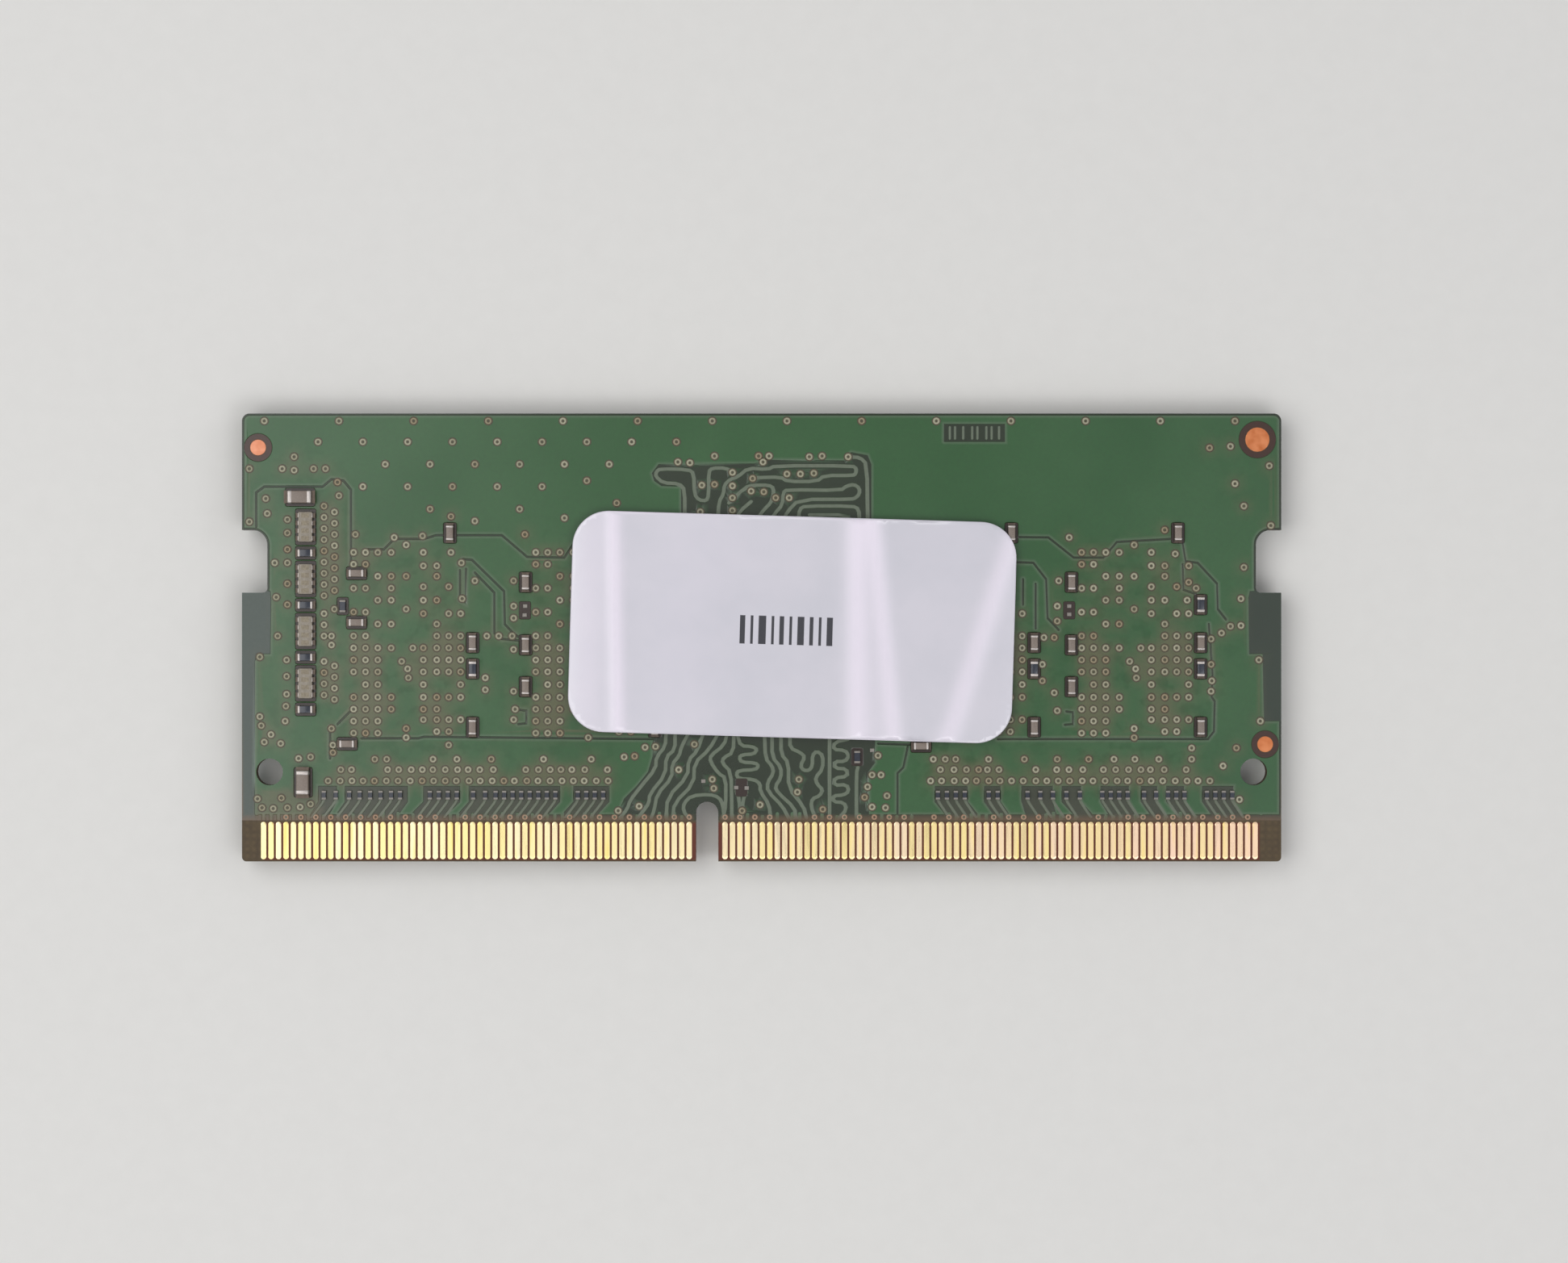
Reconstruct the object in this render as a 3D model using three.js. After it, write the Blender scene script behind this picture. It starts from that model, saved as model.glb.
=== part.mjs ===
// Small-outline memory module with 260 edge contacts. Millimetres, +Z up.
// The board lies flat, memory packages down, bare side up. X runs along the contact row and
// -Y points out of the contact edge. The origin is under the middle of the board, on the plane
// of the packages' outer faces.

import * as THREE from 'three';

// Board
const boardWidth = 69.6;
const boardHeight = 30;
const boardThickness = 1.2;
const cornerRadius = 0.5;
const contactCornerRadius = 0.3;
const maskThickness = 0.04;
const roundSegments = 10;

// Key notch in the contact edge
const keyOffset = -3.65;
const keyWidth = 1.5;
const keyDepth = 4;

// Latch notches in the two short sides
const latchHeight = 4.2;
const latchDepth = 1.7;
const latchAboveEdge = 20.1;
const latchUpperRadius = 1;
const latchLowerRadius = 0.3;

// Drilled holes near the two short sides
const holeDiameter = 1.8;
const holeFromSide = 1.85;
const holeAboveEdge = 6;

// Edge contacts
const contactPitch = 0.5;
const contactWidth = 0.35;
const contactLength = 2.5;
const contactInset = 0.15;
const contactThickness = 0.04;
const contactWeb = 0.12;
const contactToKey = 0.45;
const contactToSide = 1.35;
const contactToMask = 0.1;

// Memory packages on the underside, in a left and a right pair
const packageWidth = 8;
const packageLength = 13.5;
const mouldHeight = 0.6;
const substrateHeight = 0.2;
const ballHeight = 0.25;
const ballWidth = 0.42;
const ballPitch = 0.8;
const ballRows = 16;
const ballColumns = 3;
const ballAisle = 3.2;
const packageAboveEdge = 15.6;
const leftPackageFromSide = 11.1;
const leftPackagePitch = 12.2;
const rightPackageFromSide = 9.75;
const rightPackagePitch = 11.15;

// Module description memory on the underside, between the two pairs
const configWidth = 2;
const configLength = 3;
const configHeight = 0.75;
const configOffset = 1.2;

// Chip parts: length, width, height and length of each end cap
const smallChip = { length: 1, width: 0.5, height: 0.5, cap: 0.25 };
const largeChip = { length: 1.6, width: 0.85, height: 0.8, cap: 0.35 };
const thinChip = { length: 1, width: 0.5, height: 0.35, cap: 0.22 };
const capProud = 0.02;

// Column of resistor arrays with a capacitor under each, beside the left latch notch
const arrayWidth = 1;
const arrayLength = 2.05;
const arrayHeight = 0.45;
const arrayCells = 4;
const arrayCellGap = 0.18;
const arrayCellRelief = 0.12;
const arrayCount = 4;
const arrayFromSide = 4.27;
const arrayTopAboveEdge = 22.4;
const arrayColumnGap = 0.47;

// Chips around each package, as places from the package's middle
const topChipOffset = 2.83;
const topChipRise = 6.4;
const leftChipOffset = 4.3;
const leftChipRises = [3.1, -1.1, -3.9];
const rightChipOffset = 4.35;
const rightCapRises = [-0.95, -6.6];
const rightResistorRise = -2.7;
const extraChipRise = 1.6;

// Chips that stand alone: places from the left side and above the contact edge
const loneChips = [
  { name: 'bulk_capacitor_upper', size: largeChip, side: 3.9, rise: 24.4, alongY: false },
  { name: 'bulk_capacitor_lower', size: largeChip, side: 4.1, rise: 5.3, alongY: true },
  { name: 'supply_capacitor_upper', size: smallChip, side: 7.68, rise: 19.3, alongY: false },
  { name: 'supply_capacitor_lower', size: smallChip, side: 7.68, rise: 16, alongY: false },
  { name: 'reference_capacitor', size: smallChip, side: 7.05, rise: 7.88, alongY: false },
];

// Clock capacitor, left of the third package's middle, at the label's lower edge
const clockChipOffset = 3.22;
const clockChipAboveEdge = 7.74;

// Label, from a little left of the second package's middle to well right of the third's
const labelBeyondSecond = 1.3;
const labelBeyondThird = 3;
const labelHeight = 14.8;
const labelThickness = 0.1;
const labelRadius = 2.4;
const labelAboveEdge = 15.7;
const labelTurn = THREE.MathUtils.degToRad(-1.7);

// Bare copper alignment dots in round mask openings
const dotThickness = 0.035;
const dots = [
  { name: 'alignment_dot_left', x: fromLeft(1.08), y: fromTop(2.28), dot: 1.05, opening: 1.75 },
  { name: 'alignment_dot_right', x: fromRight(1.6), y: fromTop(1.75), dot: 1.62, opening: 2.4 },
  { name: 'alignment_dot_lower', x: fromRight(1.08), y: fromEdge(7.85), dot: 1.05, opening: 1.75 },
];

// Heights of the stack, counted up from the packages' outer faces
const substrateBottom = mouldHeight;
const ballBottom = substrateBottom + substrateHeight;
const lowerMaskBottom = ballBottom + ballHeight;
const boardBottom = lowerMaskBottom + maskThickness;
const boardTop = boardBottom + boardThickness;
const upperMaskTop = boardTop + maskThickness;
const labelBottom = upperMaskTop + smallChip.height;

const maskAboveEdge = contactInset + contactLength + contactToMask;
const ballFieldLength = (ballRows - 1) * ballPitch + ballWidth;

function fromLeft(distance) {
  return -boardWidth / 2 + distance;
}

function fromRight(distance) {
  return boardWidth / 2 - distance;
}

function fromTop(distance) {
  return boardHeight / 2 - distance;
}

function fromEdge(distance) {
  return -boardHeight / 2 + distance;
}

const finishes = {
  laminate: { color: 0x504435, roughness: 0.7, metalness: 0 },
  mask: { color: 0x2f5a38, roughness: 0.35, metalness: 0 },
  gold: { color: 0xe6cc84, roughness: 0.3, metalness: 1 },
  copper: { color: 0xd88a5c, roughness: 0.4, metalness: 1 },
  mould: { color: 0x1b1b1d, roughness: 0.6, metalness: 0 },
  substrate: { color: 0x2c4a34, roughness: 0.5, metalness: 0 },
  solder: { color: 0xc4c2bc, roughness: 0.3, metalness: 1 },
  capacitor: { color: 0x787167, roughness: 0.5, metalness: 0 },
  resistor: { color: 0x232326, roughness: 0.4, metalness: 0 },
  array: { color: 0x948c7d, roughness: 0.5, metalness: 0 },
  label: { color: 0xe4e1e8, roughness: 0.3, metalness: 0 },
};

const module = new THREE.Group();
module.name = 'memory_module';

function addPart(name, geometry, finish, x, y, z, turn = 0) {
  const mesh = new THREE.Mesh(geometry, new THREE.MeshStandardMaterial(finishes[finish]));
  mesh.name = name;
  mesh.position.set(x, y, z);
  mesh.rotation.z = turn;
  module.add(mesh);
}

function extrude(shape, depth) {
  return new THREE.ExtrudeGeometry(shape, {
    depth,
    bevelEnabled: false,
    curveSegments: roundSegments,
  });
}

// A box whose underside is at z = 0.
function slab(width, length, height) {
  return new THREE.BoxGeometry(width, length, height).translate(0, 0, height / 2);
}

function roundHole(x, y, diameter) {
  return new THREE.Path().absarc(x, y, diameter / 2, 0, 2 * Math.PI, true);
}

// The board's outline above a straight lower edge, with what is left of the key notch.
function boardOutline(lowerEdge, lowerRadius) {
  const left = fromLeft(0);
  const right = fromRight(0);
  const top = fromTop(0);
  const keyRadius = keyWidth / 2;
  const keyTop = fromEdge(keyDepth - keyRadius);
  const shape = new THREE.Shape();
  shape.moveTo(left + lowerRadius, lowerEdge);
  shape.lineTo(keyOffset - keyRadius, lowerEdge);
  shape.lineTo(keyOffset - keyRadius, keyTop);
  shape.absarc(keyOffset, keyTop, keyRadius, Math.PI, 0, true);
  shape.lineTo(keyOffset + keyRadius, lowerEdge);
  shape.lineTo(right - lowerRadius, lowerEdge);
  if (lowerRadius > 0) {
    shape.absarc(right - lowerRadius, lowerEdge + lowerRadius, lowerRadius, -Math.PI / 2, 0);
  }
  rightLatchNotch(shape, right);
  shape.absarc(right - cornerRadius, top - cornerRadius, cornerRadius, 0, Math.PI / 2);
  shape.absarc(left + cornerRadius, top - cornerRadius, cornerRadius, Math.PI / 2, Math.PI);
  leftLatchNotch(shape, left);
  if (lowerRadius > 0) {
    shape.absarc(left + lowerRadius, lowerEdge + lowerRadius, lowerRadius, Math.PI, Math.PI * 1.5);
  }
  shape.closePath();
  return shape;
}

function rightLatchNotch(shape, right) {
  const low = fromEdge(latchAboveEdge - latchHeight / 2);
  const high = low + latchHeight;
  const wall = right - latchDepth;
  shape.lineTo(right, low);
  shape.absarc(wall + latchLowerRadius, low + latchLowerRadius, latchLowerRadius,
    -Math.PI / 2, Math.PI, true);
  shape.absarc(wall + latchUpperRadius, high - latchUpperRadius, latchUpperRadius,
    Math.PI, Math.PI / 2, true);
  shape.lineTo(right, high);
}

function leftLatchNotch(shape, left) {
  const low = fromEdge(latchAboveEdge - latchHeight / 2);
  const high = low + latchHeight;
  const wall = left + latchDepth;
  shape.lineTo(left, high);
  shape.absarc(wall - latchUpperRadius, high - latchUpperRadius, latchUpperRadius,
    Math.PI / 2, 0, true);
  shape.absarc(wall - latchLowerRadius, low + latchLowerRadius, latchLowerRadius,
    0, -Math.PI / 2, true);
  shape.lineTo(left, low);
}

function addDrilledHoles(shape) {
  for (const x of [fromLeft(holeFromSide), fromRight(holeFromSide)]) {
    shape.holes.push(roundHole(x, fromEdge(holeAboveEdge), holeDiameter));
  }
}

function addBoard() {
  const core = boardOutline(fromEdge(0), contactCornerRadius);
  addDrilledHoles(core);
  addPart('board_core', extrude(core, boardThickness), 'laminate', 0, 0, boardBottom);

  const lowerMask = boardOutline(fromEdge(maskAboveEdge), 0);
  addDrilledHoles(lowerMask);
  addPart('solder_mask_lower', extrude(lowerMask, maskThickness), 'mask', 0, 0, lowerMaskBottom);

  const upperMask = boardOutline(fromEdge(maskAboveEdge), 0);
  addDrilledHoles(upperMask);
  for (const { x, y, opening } of dots) {
    upperMask.holes.push(roundHole(x, y, opening));
  }
  addPart('solder_mask_upper', extrude(upperMask, maskThickness), 'mask', 0, 0, boardTop);
}

function addAlignmentDots() {
  for (const { name, x, y, dot } of dots) {
    const disc = new THREE.Shape().absarc(0, 0, dot / 2, 0, 2 * Math.PI);
    addPart(name, extrude(disc, dotThickness), 'copper', x, y, boardTop);
  }
}

// Parallel bars at the given places, joined by a strip along their far ends.
function comb(places, width, length, strip) {
  const half = width / 2;
  const first = places[0];
  const last = places[places.length - 1];
  const shape = new THREE.Shape();
  shape.moveTo(first - half, length);
  for (const place of places) {
    if (place !== first) {
      shape.lineTo(place - half, length - strip);
    }
    shape.lineTo(place - half, 0);
    shape.lineTo(place + half, 0);
    if (place !== last) {
      shape.lineTo(place + half, length - strip);
    }
  }
  shape.lineTo(last + half, length);
  shape.closePath();
  return shape;
}

// Contacts fill each side of the key notch, outwards from it, as far as the side margin.
function contactPlaces(side) {
  const nearest = keyOffset + side * (keyWidth / 2 + contactToKey);
  const furthest = side * (boardWidth / 2 - contactToSide);
  const steps = Math.floor(Math.abs(furthest - nearest) / contactPitch);
  const places = [];
  for (let step = 0; step <= steps; step++) {
    places.push(nearest + side * step * contactPitch);
  }
  return places.sort((a, b) => a - b);
}

function addContacts() {
  const lowerZ = boardBottom - contactThickness;
  for (const [side, word] of [[-1, 'left'], [1, 'right']]) {
    const row = comb(contactPlaces(side), contactWidth, contactLength, contactWeb);
    const y = fromEdge(contactInset);
    addPart(`contacts_upper_${word}`, extrude(row, contactThickness), 'gold', 0, y, boardTop);
    addPart(`contacts_lower_${word}`, extrude(row, contactThickness), 'gold', 0, y, lowerZ);
  }
}

function packageCentres() {
  return [
    fromLeft(leftPackageFromSide),
    fromLeft(leftPackageFromSide + leftPackagePitch),
    fromRight(rightPackageFromSide + rightPackagePitch),
    fromRight(rightPackageFromSide),
  ];
}

// One bar stands for each column of solder balls, and a strip joins the columns.
function ballColumnsShape() {
  const places = [];
  for (let column = 0; column < ballColumns; column++) {
    places.push(ballAisle / 2 + column * ballPitch);
  }
  const columns = [...places.map((x) => -x).reverse(), ...places];
  return comb(columns, ballWidth, ballFieldLength, ballWidth);
}

function addMemoryPackages() {
  const y = fromEdge(packageAboveEdge);
  packageCentres().forEach((x, index) => {
    const number = index + 1;
    const mould = slab(packageWidth, packageLength, mouldHeight);
    const substrate = slab(packageWidth, packageLength, substrateHeight);
    const balls = extrude(ballColumnsShape(), ballHeight);
    addPart(`memory_mould_${number}`, mould, 'mould', x, y, 0);
    addPart(`memory_substrate_${number}`, substrate, 'substrate', x, y, substrateBottom);
    addPart(`memory_balls_${number}`, balls, 'solder', x, y - ballFieldLength / 2, ballBottom);
  });
}

function addConfigMemory() {
  const body = slab(configWidth, configLength, configHeight);
  const z = lowerMaskBottom - configHeight;
  addPart('config_memory', body, 'mould', configOffset, fromEdge(packageAboveEdge), z);
}

// A chip part along X: a bar with an end cap standing slightly proud at each end.
function chipPart({ length, width, height, cap }) {
  const end = length / 2;
  const inner = end - cap;
  const side = new THREE.Shape();
  side.moveTo(-end, 0);
  side.lineTo(-inner, 0);
  side.lineTo(-inner, capProud);
  side.lineTo(inner, capProud);
  side.lineTo(inner, 0);
  side.lineTo(end, 0);
  side.lineTo(end, height);
  side.lineTo(inner, height);
  side.lineTo(inner, height - capProud);
  side.lineTo(-inner, height - capProud);
  side.lineTo(-inner, height);
  side.lineTo(-end, height);
  side.closePath();
  return extrude(side, width).rotateX(Math.PI / 2).translate(0, width / 2, 0);
}

function addChip(name, size, finish, x, y, alongY) {
  addPart(name, chipPart(size), finish, x, y, upperMaskTop, alongY ? Math.PI / 2 : 0);
}

// A resistor array: a block with a relief between neighbouring terminals on both long sides.
function arrayOutline() {
  const cell = arrayLength / arrayCells;
  const side = arrayWidth / 2;
  const shape = new THREE.Shape();
  shape.moveTo(-side, -arrayLength / 2);
  shape.lineTo(side, -arrayLength / 2);
  for (let gap = 1; gap < arrayCells; gap++) {
    addRelief(shape, side, -arrayLength / 2 + gap * cell, 1);
  }
  shape.lineTo(side, arrayLength / 2);
  shape.lineTo(-side, arrayLength / 2);
  for (let gap = 1; gap < arrayCells; gap++) {
    addRelief(shape, -side, arrayLength / 2 - gap * cell, -1);
  }
  shape.closePath();
  return shape;
}

function addRelief(shape, side, middle, way) {
  const half = arrayCellGap / 2;
  const inner = side - way * arrayCellRelief;
  shape.lineTo(side, middle - way * half);
  shape.lineTo(inner, middle - way * half);
  shape.lineTo(inner, middle + way * half);
  shape.lineTo(side, middle + way * half);
}

function addTerminationColumn() {
  const x = fromLeft(arrayFromSide);
  const pitch = arrayLength + smallChip.width + 2 * arrayColumnGap;
  const toCap = arrayLength / 2 + arrayColumnGap + smallChip.width / 2;
  for (let row = 0; row < arrayCount; row++) {
    const y = fromEdge(arrayTopAboveEdge - row * pitch);
    const block = extrude(arrayOutline(), arrayHeight);
    addPart(`resistor_array_${row + 1}`, block, 'array', x, y, upperMaskTop);
    addChip(`array_capacitor_${row + 1}`, smallChip, 'capacitor', x, y - toCap, false);
  }
}

// Chips beside each package on the upper side, besides one above it; the label hides the rest.
const packageChips = [
  { left: [], right: [0, 1], resistor: true, extra: false },
  { left: [0, 1, 2], right: [1], resistor: false, extra: false },
  { left: [1], right: [0, 1], resistor: true, extra: false },
  { left: [0, 1, 2], right: [0, 1], resistor: true, extra: true },
];

function addPackageChips() {
  const middle = fromEdge(packageAboveEdge);
  packageCentres().forEach((centre, index) => {
    const chips = packageChips[index];
    const name = `memory_${index + 1}`;
    const right = centre + rightChipOffset;
    addChip(`${name}_top_cap`, smallChip, 'capacitor', centre + topChipOffset,
      middle + topChipRise, true);
    for (const place of chips.left) {
      addChip(`${name}_left_cap_${place + 1}`, smallChip, 'capacitor', centre - leftChipOffset,
        middle + leftChipRises[place], true);
    }
    for (const place of chips.right) {
      addChip(`${name}_right_cap_${place + 1}`, smallChip, 'capacitor', right,
        middle + rightCapRises[place], true);
    }
    if (chips.resistor) {
      addChip(`${name}_resistor`, thinChip, 'resistor', right, middle + rightResistorRise, true);
    }
    if (chips.extra) {
      addChip(`${name}_side_resistor`, thinChip, 'resistor', right, middle + extraChipRise, true);
    }
  });
}

function addLoneChips() {
  for (const { name, size, side, rise, alongY } of loneChips) {
    addChip(name, size, 'capacitor', fromLeft(side), fromEdge(rise), alongY);
  }
  const [, , third] = packageCentres();
  addChip('clock_capacitor', smallChip, 'capacitor', third - clockChipOffset,
    fromEdge(clockChipAboveEdge), false);
}

function addLabel() {
  const [, second, third] = packageCentres();
  const left = second - labelBeyondSecond;
  const right = third + labelBeyondThird;
  const x = (right - left) / 2;
  const y = labelHeight / 2;
  const r = labelRadius;
  const sheet = new THREE.Shape();
  sheet.absarc(x - r, y - r, r, 0, Math.PI / 2);
  sheet.absarc(-x + r, y - r, r, Math.PI / 2, Math.PI);
  sheet.absarc(-x + r, -y + r, r, Math.PI, Math.PI * 1.5);
  sheet.absarc(x - r, -y + r, r, -Math.PI / 2, 0);
  sheet.closePath();
  addPart('label_sheet', extrude(sheet, labelThickness), 'label', (left + right) / 2,
    fromEdge(labelAboveEdge), labelBottom, labelTurn);
}

addBoard();
addAlignmentDots();
addContacts();
addMemoryPackages();
addConfigMemory();
addTerminationColumn();
addPackageChips();
addLoneChips();
addLabel();

export default module;
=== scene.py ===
"""A small-outline memory module that lies on its memory packages, label side up.

X runs along the contact row, -Y points out of the contact edge and Z is up. Sizes are in
millimetres until a mesh is made. A place on the board is (u, v): u to the right of the board's
left side, v above its contact edge. Heights are above the floor.
"""

import math
import random

import bmesh
import bpy
import numpy as np
from mathutils import Matrix, Vector, geometry


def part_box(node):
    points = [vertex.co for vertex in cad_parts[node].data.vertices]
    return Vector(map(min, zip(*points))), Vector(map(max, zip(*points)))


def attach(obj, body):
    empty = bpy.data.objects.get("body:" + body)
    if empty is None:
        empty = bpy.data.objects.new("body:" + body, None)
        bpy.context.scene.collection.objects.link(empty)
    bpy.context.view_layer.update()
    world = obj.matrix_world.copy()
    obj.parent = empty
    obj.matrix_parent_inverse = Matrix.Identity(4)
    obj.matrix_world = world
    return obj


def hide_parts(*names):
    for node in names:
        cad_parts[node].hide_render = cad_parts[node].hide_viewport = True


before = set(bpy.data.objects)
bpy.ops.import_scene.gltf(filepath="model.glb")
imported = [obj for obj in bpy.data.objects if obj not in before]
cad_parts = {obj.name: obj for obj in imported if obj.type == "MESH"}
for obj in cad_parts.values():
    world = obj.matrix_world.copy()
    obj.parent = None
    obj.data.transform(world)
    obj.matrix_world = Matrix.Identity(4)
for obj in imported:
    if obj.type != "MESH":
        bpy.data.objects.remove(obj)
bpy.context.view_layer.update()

MM = 0.001


def box_mm(node):
    """A CAD node's lowest and highest corners in millimetres."""
    low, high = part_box(node)
    return low / MM, high / MM


BOARD_LOW, BOARD_HIGH = box_mm("board_core")
BOARD_WIDTH = BOARD_HIGH.x - BOARD_LOW.x
BOARD_HEIGHT = BOARD_HIGH.y - BOARD_LOW.y
BOARD_BOTTOM = BOARD_LOW.z
BOARD_TOP = BOARD_HIGH.z
MASK_TOP = box_mm("solder_mask_upper")[1].z
MASK_EDGE = box_mm("solder_mask_upper")[0].y - BOARD_LOW.y


def board_place(x, y):
    """(u, v) of a point given in the row frame."""
    return x - BOARD_LOW.x, y - BOARD_LOW.y


def frame_points(places, heights):
    """Board places and heights as points of the row frame, in metres."""
    places = np.asarray(places, float).reshape(-1, 2)
    points = np.empty((len(places), 3))
    points[:, 0] = places[:, 0] + BOARD_LOW.x
    points[:, 1] = places[:, 1] + BOARD_LOW.y
    points[:, 2] = heights
    return points * MM


def centre_place(node):
    low, high = box_mm(node)
    return board_place((low.x + high.x) / 2, (low.y + high.y) / 2)


# ---------------------------------------------------------------- colours and materials


def linear(hex_colour):
    """An sRGB hex colour as linear red, green, blue and 1."""
    channels = [int(hex_colour[k : k + 2], 16) / 255 for k in (1, 3, 5)]
    bent = [c / 12.92 if c <= 0.04045 else ((c + 0.055) / 1.055) ** 2.4 for c in channels]
    return (*bent, 1.0)


def socket_of(sockets, name):
    """The socket with that number, or the one in use with that name."""
    if isinstance(name, int):
        return sockets[name]
    return next(socket for socket in sockets if socket.name == name and socket.enabled)


def add(tree, kind, inputs=(), out=0, **settings):
    """Adds a node and gives one of its outputs. Settings are its properties. Inputs go by name or
    number, or in the node's own order; each is a value, a colour as sRGB hex, a socket to link
    from, or a list of sockets."""
    node = tree.nodes.new(kind)
    for name, value in settings.items():
        setattr(node, name, value)
    named = inputs if isinstance(inputs, dict) else dict(enumerate(inputs))
    for name, value in named.items():
        socket = socket_of(node.inputs, name)
        if isinstance(value, (list, bpy.types.NodeSocket)):
            for source in value if isinstance(value, list) else [value]:
                tree.links.new(source, socket)
        elif isinstance(value, str) and value.startswith("#"):
            socket.default_value = linear(value)
        else:
            socket.default_value = value
    return socket_of(node.outputs, out) if node.outputs else None


def start_material(name, roughness, metallic=0.0, **sockets):
    """A new material's tree and its shader, with the values that hold all over it."""
    material = bpy.data.materials.new(name)
    material.use_nodes = True
    tree = material.node_tree
    shader = tree.nodes["Principled BSDF"]
    shader.inputs["Roughness"].default_value = roughness
    shader.inputs["Metallic"].default_value = metallic
    for socket, value in sockets.items():
        shader.inputs[socket.replace("_", " ")].default_value = value
    return material, tree, shader


def grain(tree, size_mm, detail=3.0, stretch=(1, 1, 1), reach=None, to=(0.0, 1.0)):
    """Noise over the object whose spots are about size_mm across. With a reach, that part of its
    values is drawn out to the values in to."""
    place = add(tree, "ShaderNodeTexCoord", out="Object")
    turned = add(tree, "ShaderNodeMapping", {"Vector": place, "Scale": stretch})
    spots = {"Vector": turned, "Scale": 1 / (size_mm * MM), "Detail": detail, "Roughness": 0.6}
    noise = add(tree, "ShaderNodeTexNoise", spots, out="Fac")
    return noise if reach is None else add(tree, "ShaderNodeMapRange", (noise, *reach, *to))


def along_board(tree, low_mm, high_mm):
    """A share that rises from 0 to 1 between two places along the contact row."""
    place = add(tree, "ShaderNodeTexCoord", out="Object")
    along = add(tree, "ShaderNodeSeparateXYZ", (place,), out="X")
    return add(tree, "ShaderNodeMapRange", (along, low_mm * MM, high_mm * MM))


def layered(tree, base, *coats):
    """Lays coats over a base colour. Each is a share and a colour; the share is a socket, or the
    name of the piece's own attribute."""
    for share, colour in coats:
        if isinstance(share, str):
            share = add(tree, "ShaderNodeAttribute", out="Fac", attribute_name=share)
        mix = {0: share, 6: base, 7: colour}
        base = add(tree, "ShaderNodeMix", mix, out=2, data_type="RGBA")
    return base


def paint(tree, shader, colour, height, depth_mm, strength):
    """Gives the shader its colour, and relief that is depth_mm deep from height 0 to 1."""
    tree.links.new(colour, shader.inputs["Base Color"])
    relief = {"Height": height, "Distance": depth_mm * MM, "Strength": strength}
    tree.links.new(add(tree, "ShaderNodeBump", relief), shader.inputs["Normal"])


def make_solder_mask():
    """Sprayed green light-cured epoxy film: satin, mid green over copper, a dull grey green where
    only laminate is under it, paler over thin traces, paler along copper's edges where the film is
    thin and with a painted highlight of their shoulders, brown where tinned holes crowd and at the
    contacts' roots, with bare brown laminate in its openings, darkened there as painted shadow round
    the chips."""
    material, tree, shader = start_material(
        "solder_mask_green_epoxy", 0.27, IOR=1.52, Coat_Weight=0.22, Coat_Roughness=0.2
    )
    cloud = grain(tree, 9.0, 2.0, reach=(0.3, 0.7))
    speck = grain(tree, 0.25, 2.0, reach=(0.3, 0.75), to=(0.0, 0.16))
    blotch = grain(tree, 1.1, 2.0, reach=(0.5, 0.62))
    crowd = add(tree, "ShaderNodeAttribute", out="Fac", attribute_name="crowd")
    patch = add(tree, "ShaderNodeMath", (blotch, crowd), operation="MULTIPLY")
    # The pale edge colour is partly thin film over the copper's edges and partly a painted highlight
    # of their shoulders.
    over_copper = layered(
        tree, "#2a572d", (cloud, "#355f36"), (patch, "#215226"), ("thin", "#636a59"),
        ("edge", "#6f7c6a"),
    )
    over_laminate = layered(tree, "#1e2917", (cloud, "#283322"))
    # The bare laminate colour is also darkened as painted shadow: it gives each chip a dark frame.
    bare_and_shadow = layered(tree, "#30221a", ("well", "#3b1f0e"))
    film = layered(
        tree, over_laminate, ("copper", over_copper), ("pale", "#4e5c58"),
        ("warmth", "#695f46"), ("root", "#67503a"), (speck, "#2b3a2a"), ("bare", bare_and_shadow),
    )
    paint(tree, shader, film, grain(tree, 0.35), 0.004, 0.6)
    return material


# The stretch of board that the contact rows stand on, as distances from the board's middle
ROW_HALF_LENGTH = 33.3
ROW_NEAR = 12.45
ROW_FAR = 14.85
# What a wave node repeats after at scale 1
WAVE_PERIOD = 0.314


def within(tree, value, low, high):
    """1 where a place in metres lies between two distances in millimetres, with a short fade."""
    fade = 0.1
    rise = add(tree, "ShaderNodeMapRange", (value, (low - fade) * MM, low * MM))
    fall = add(tree, "ShaderNodeMapRange", (value, high * MM, (high + fade) * MM, 1.0, 0.0))
    return add(tree, "ShaderNodeMath", (rise, fall), operation="MULTIPLY")


def ripples(tree, direction, spacing_mm, distortion):
    """Wavy lines across the object, one spacing apart in that direction."""
    place = add(tree, "ShaderNodeTexCoord", out="Object")
    scale = WAVE_PERIOD / (spacing_mm * MM)
    wave = {"Vector": place, "Scale": scale, "Distortion": distortion}
    return add(tree, "ShaderNodeTexWave", wave, out="Fac", bands_direction=direction)


def make_laminate():
    """Glass-epoxy board, drilled and routed: brown, dull, with the weave of its glass cloth showing
    on faces and its plies as fine lines along its edges, redder in the slits between contacts."""
    material, tree, shader = start_material("glass_epoxy_laminate", 0.62, IOR=1.5)
    thread_mm = 0.45
    ply_mm = 0.15
    weave = tuple(ripples(tree, direction, thread_mm, 0.6) for direction in ("X", "Y"))
    cloth = add(tree, "ShaderNodeMath", weave, operation="MULTIPLY")
    plies = add(tree, "ShaderNodeMapRange", (ripples(tree, "Z", ply_mm, 1.0), 0.0, 1.0, 0.0, 0.5))
    place = add(tree, "ShaderNodeTexCoord", out="Object")
    axes = add(tree, "ShaderNodeSeparateXYZ", (place,)).node.outputs
    rows = (
        within(tree, axes["X"], -ROW_HALF_LENGTH, ROW_HALF_LENGTH),
        within(tree, axes["Y"], -ROW_FAR, -ROW_NEAR),
    )
    slits = add(tree, "ShaderNodeMath", rows, operation="MULTIPLY")
    board = layered(
        tree, "#3a2c1b", (cloth, "#4a3a25"), (plies, "#6b5a36"), (slits, "#5c2209")
    )
    paint(tree, shader, board, cloth, 0.01, 0.4)
    return material


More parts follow.
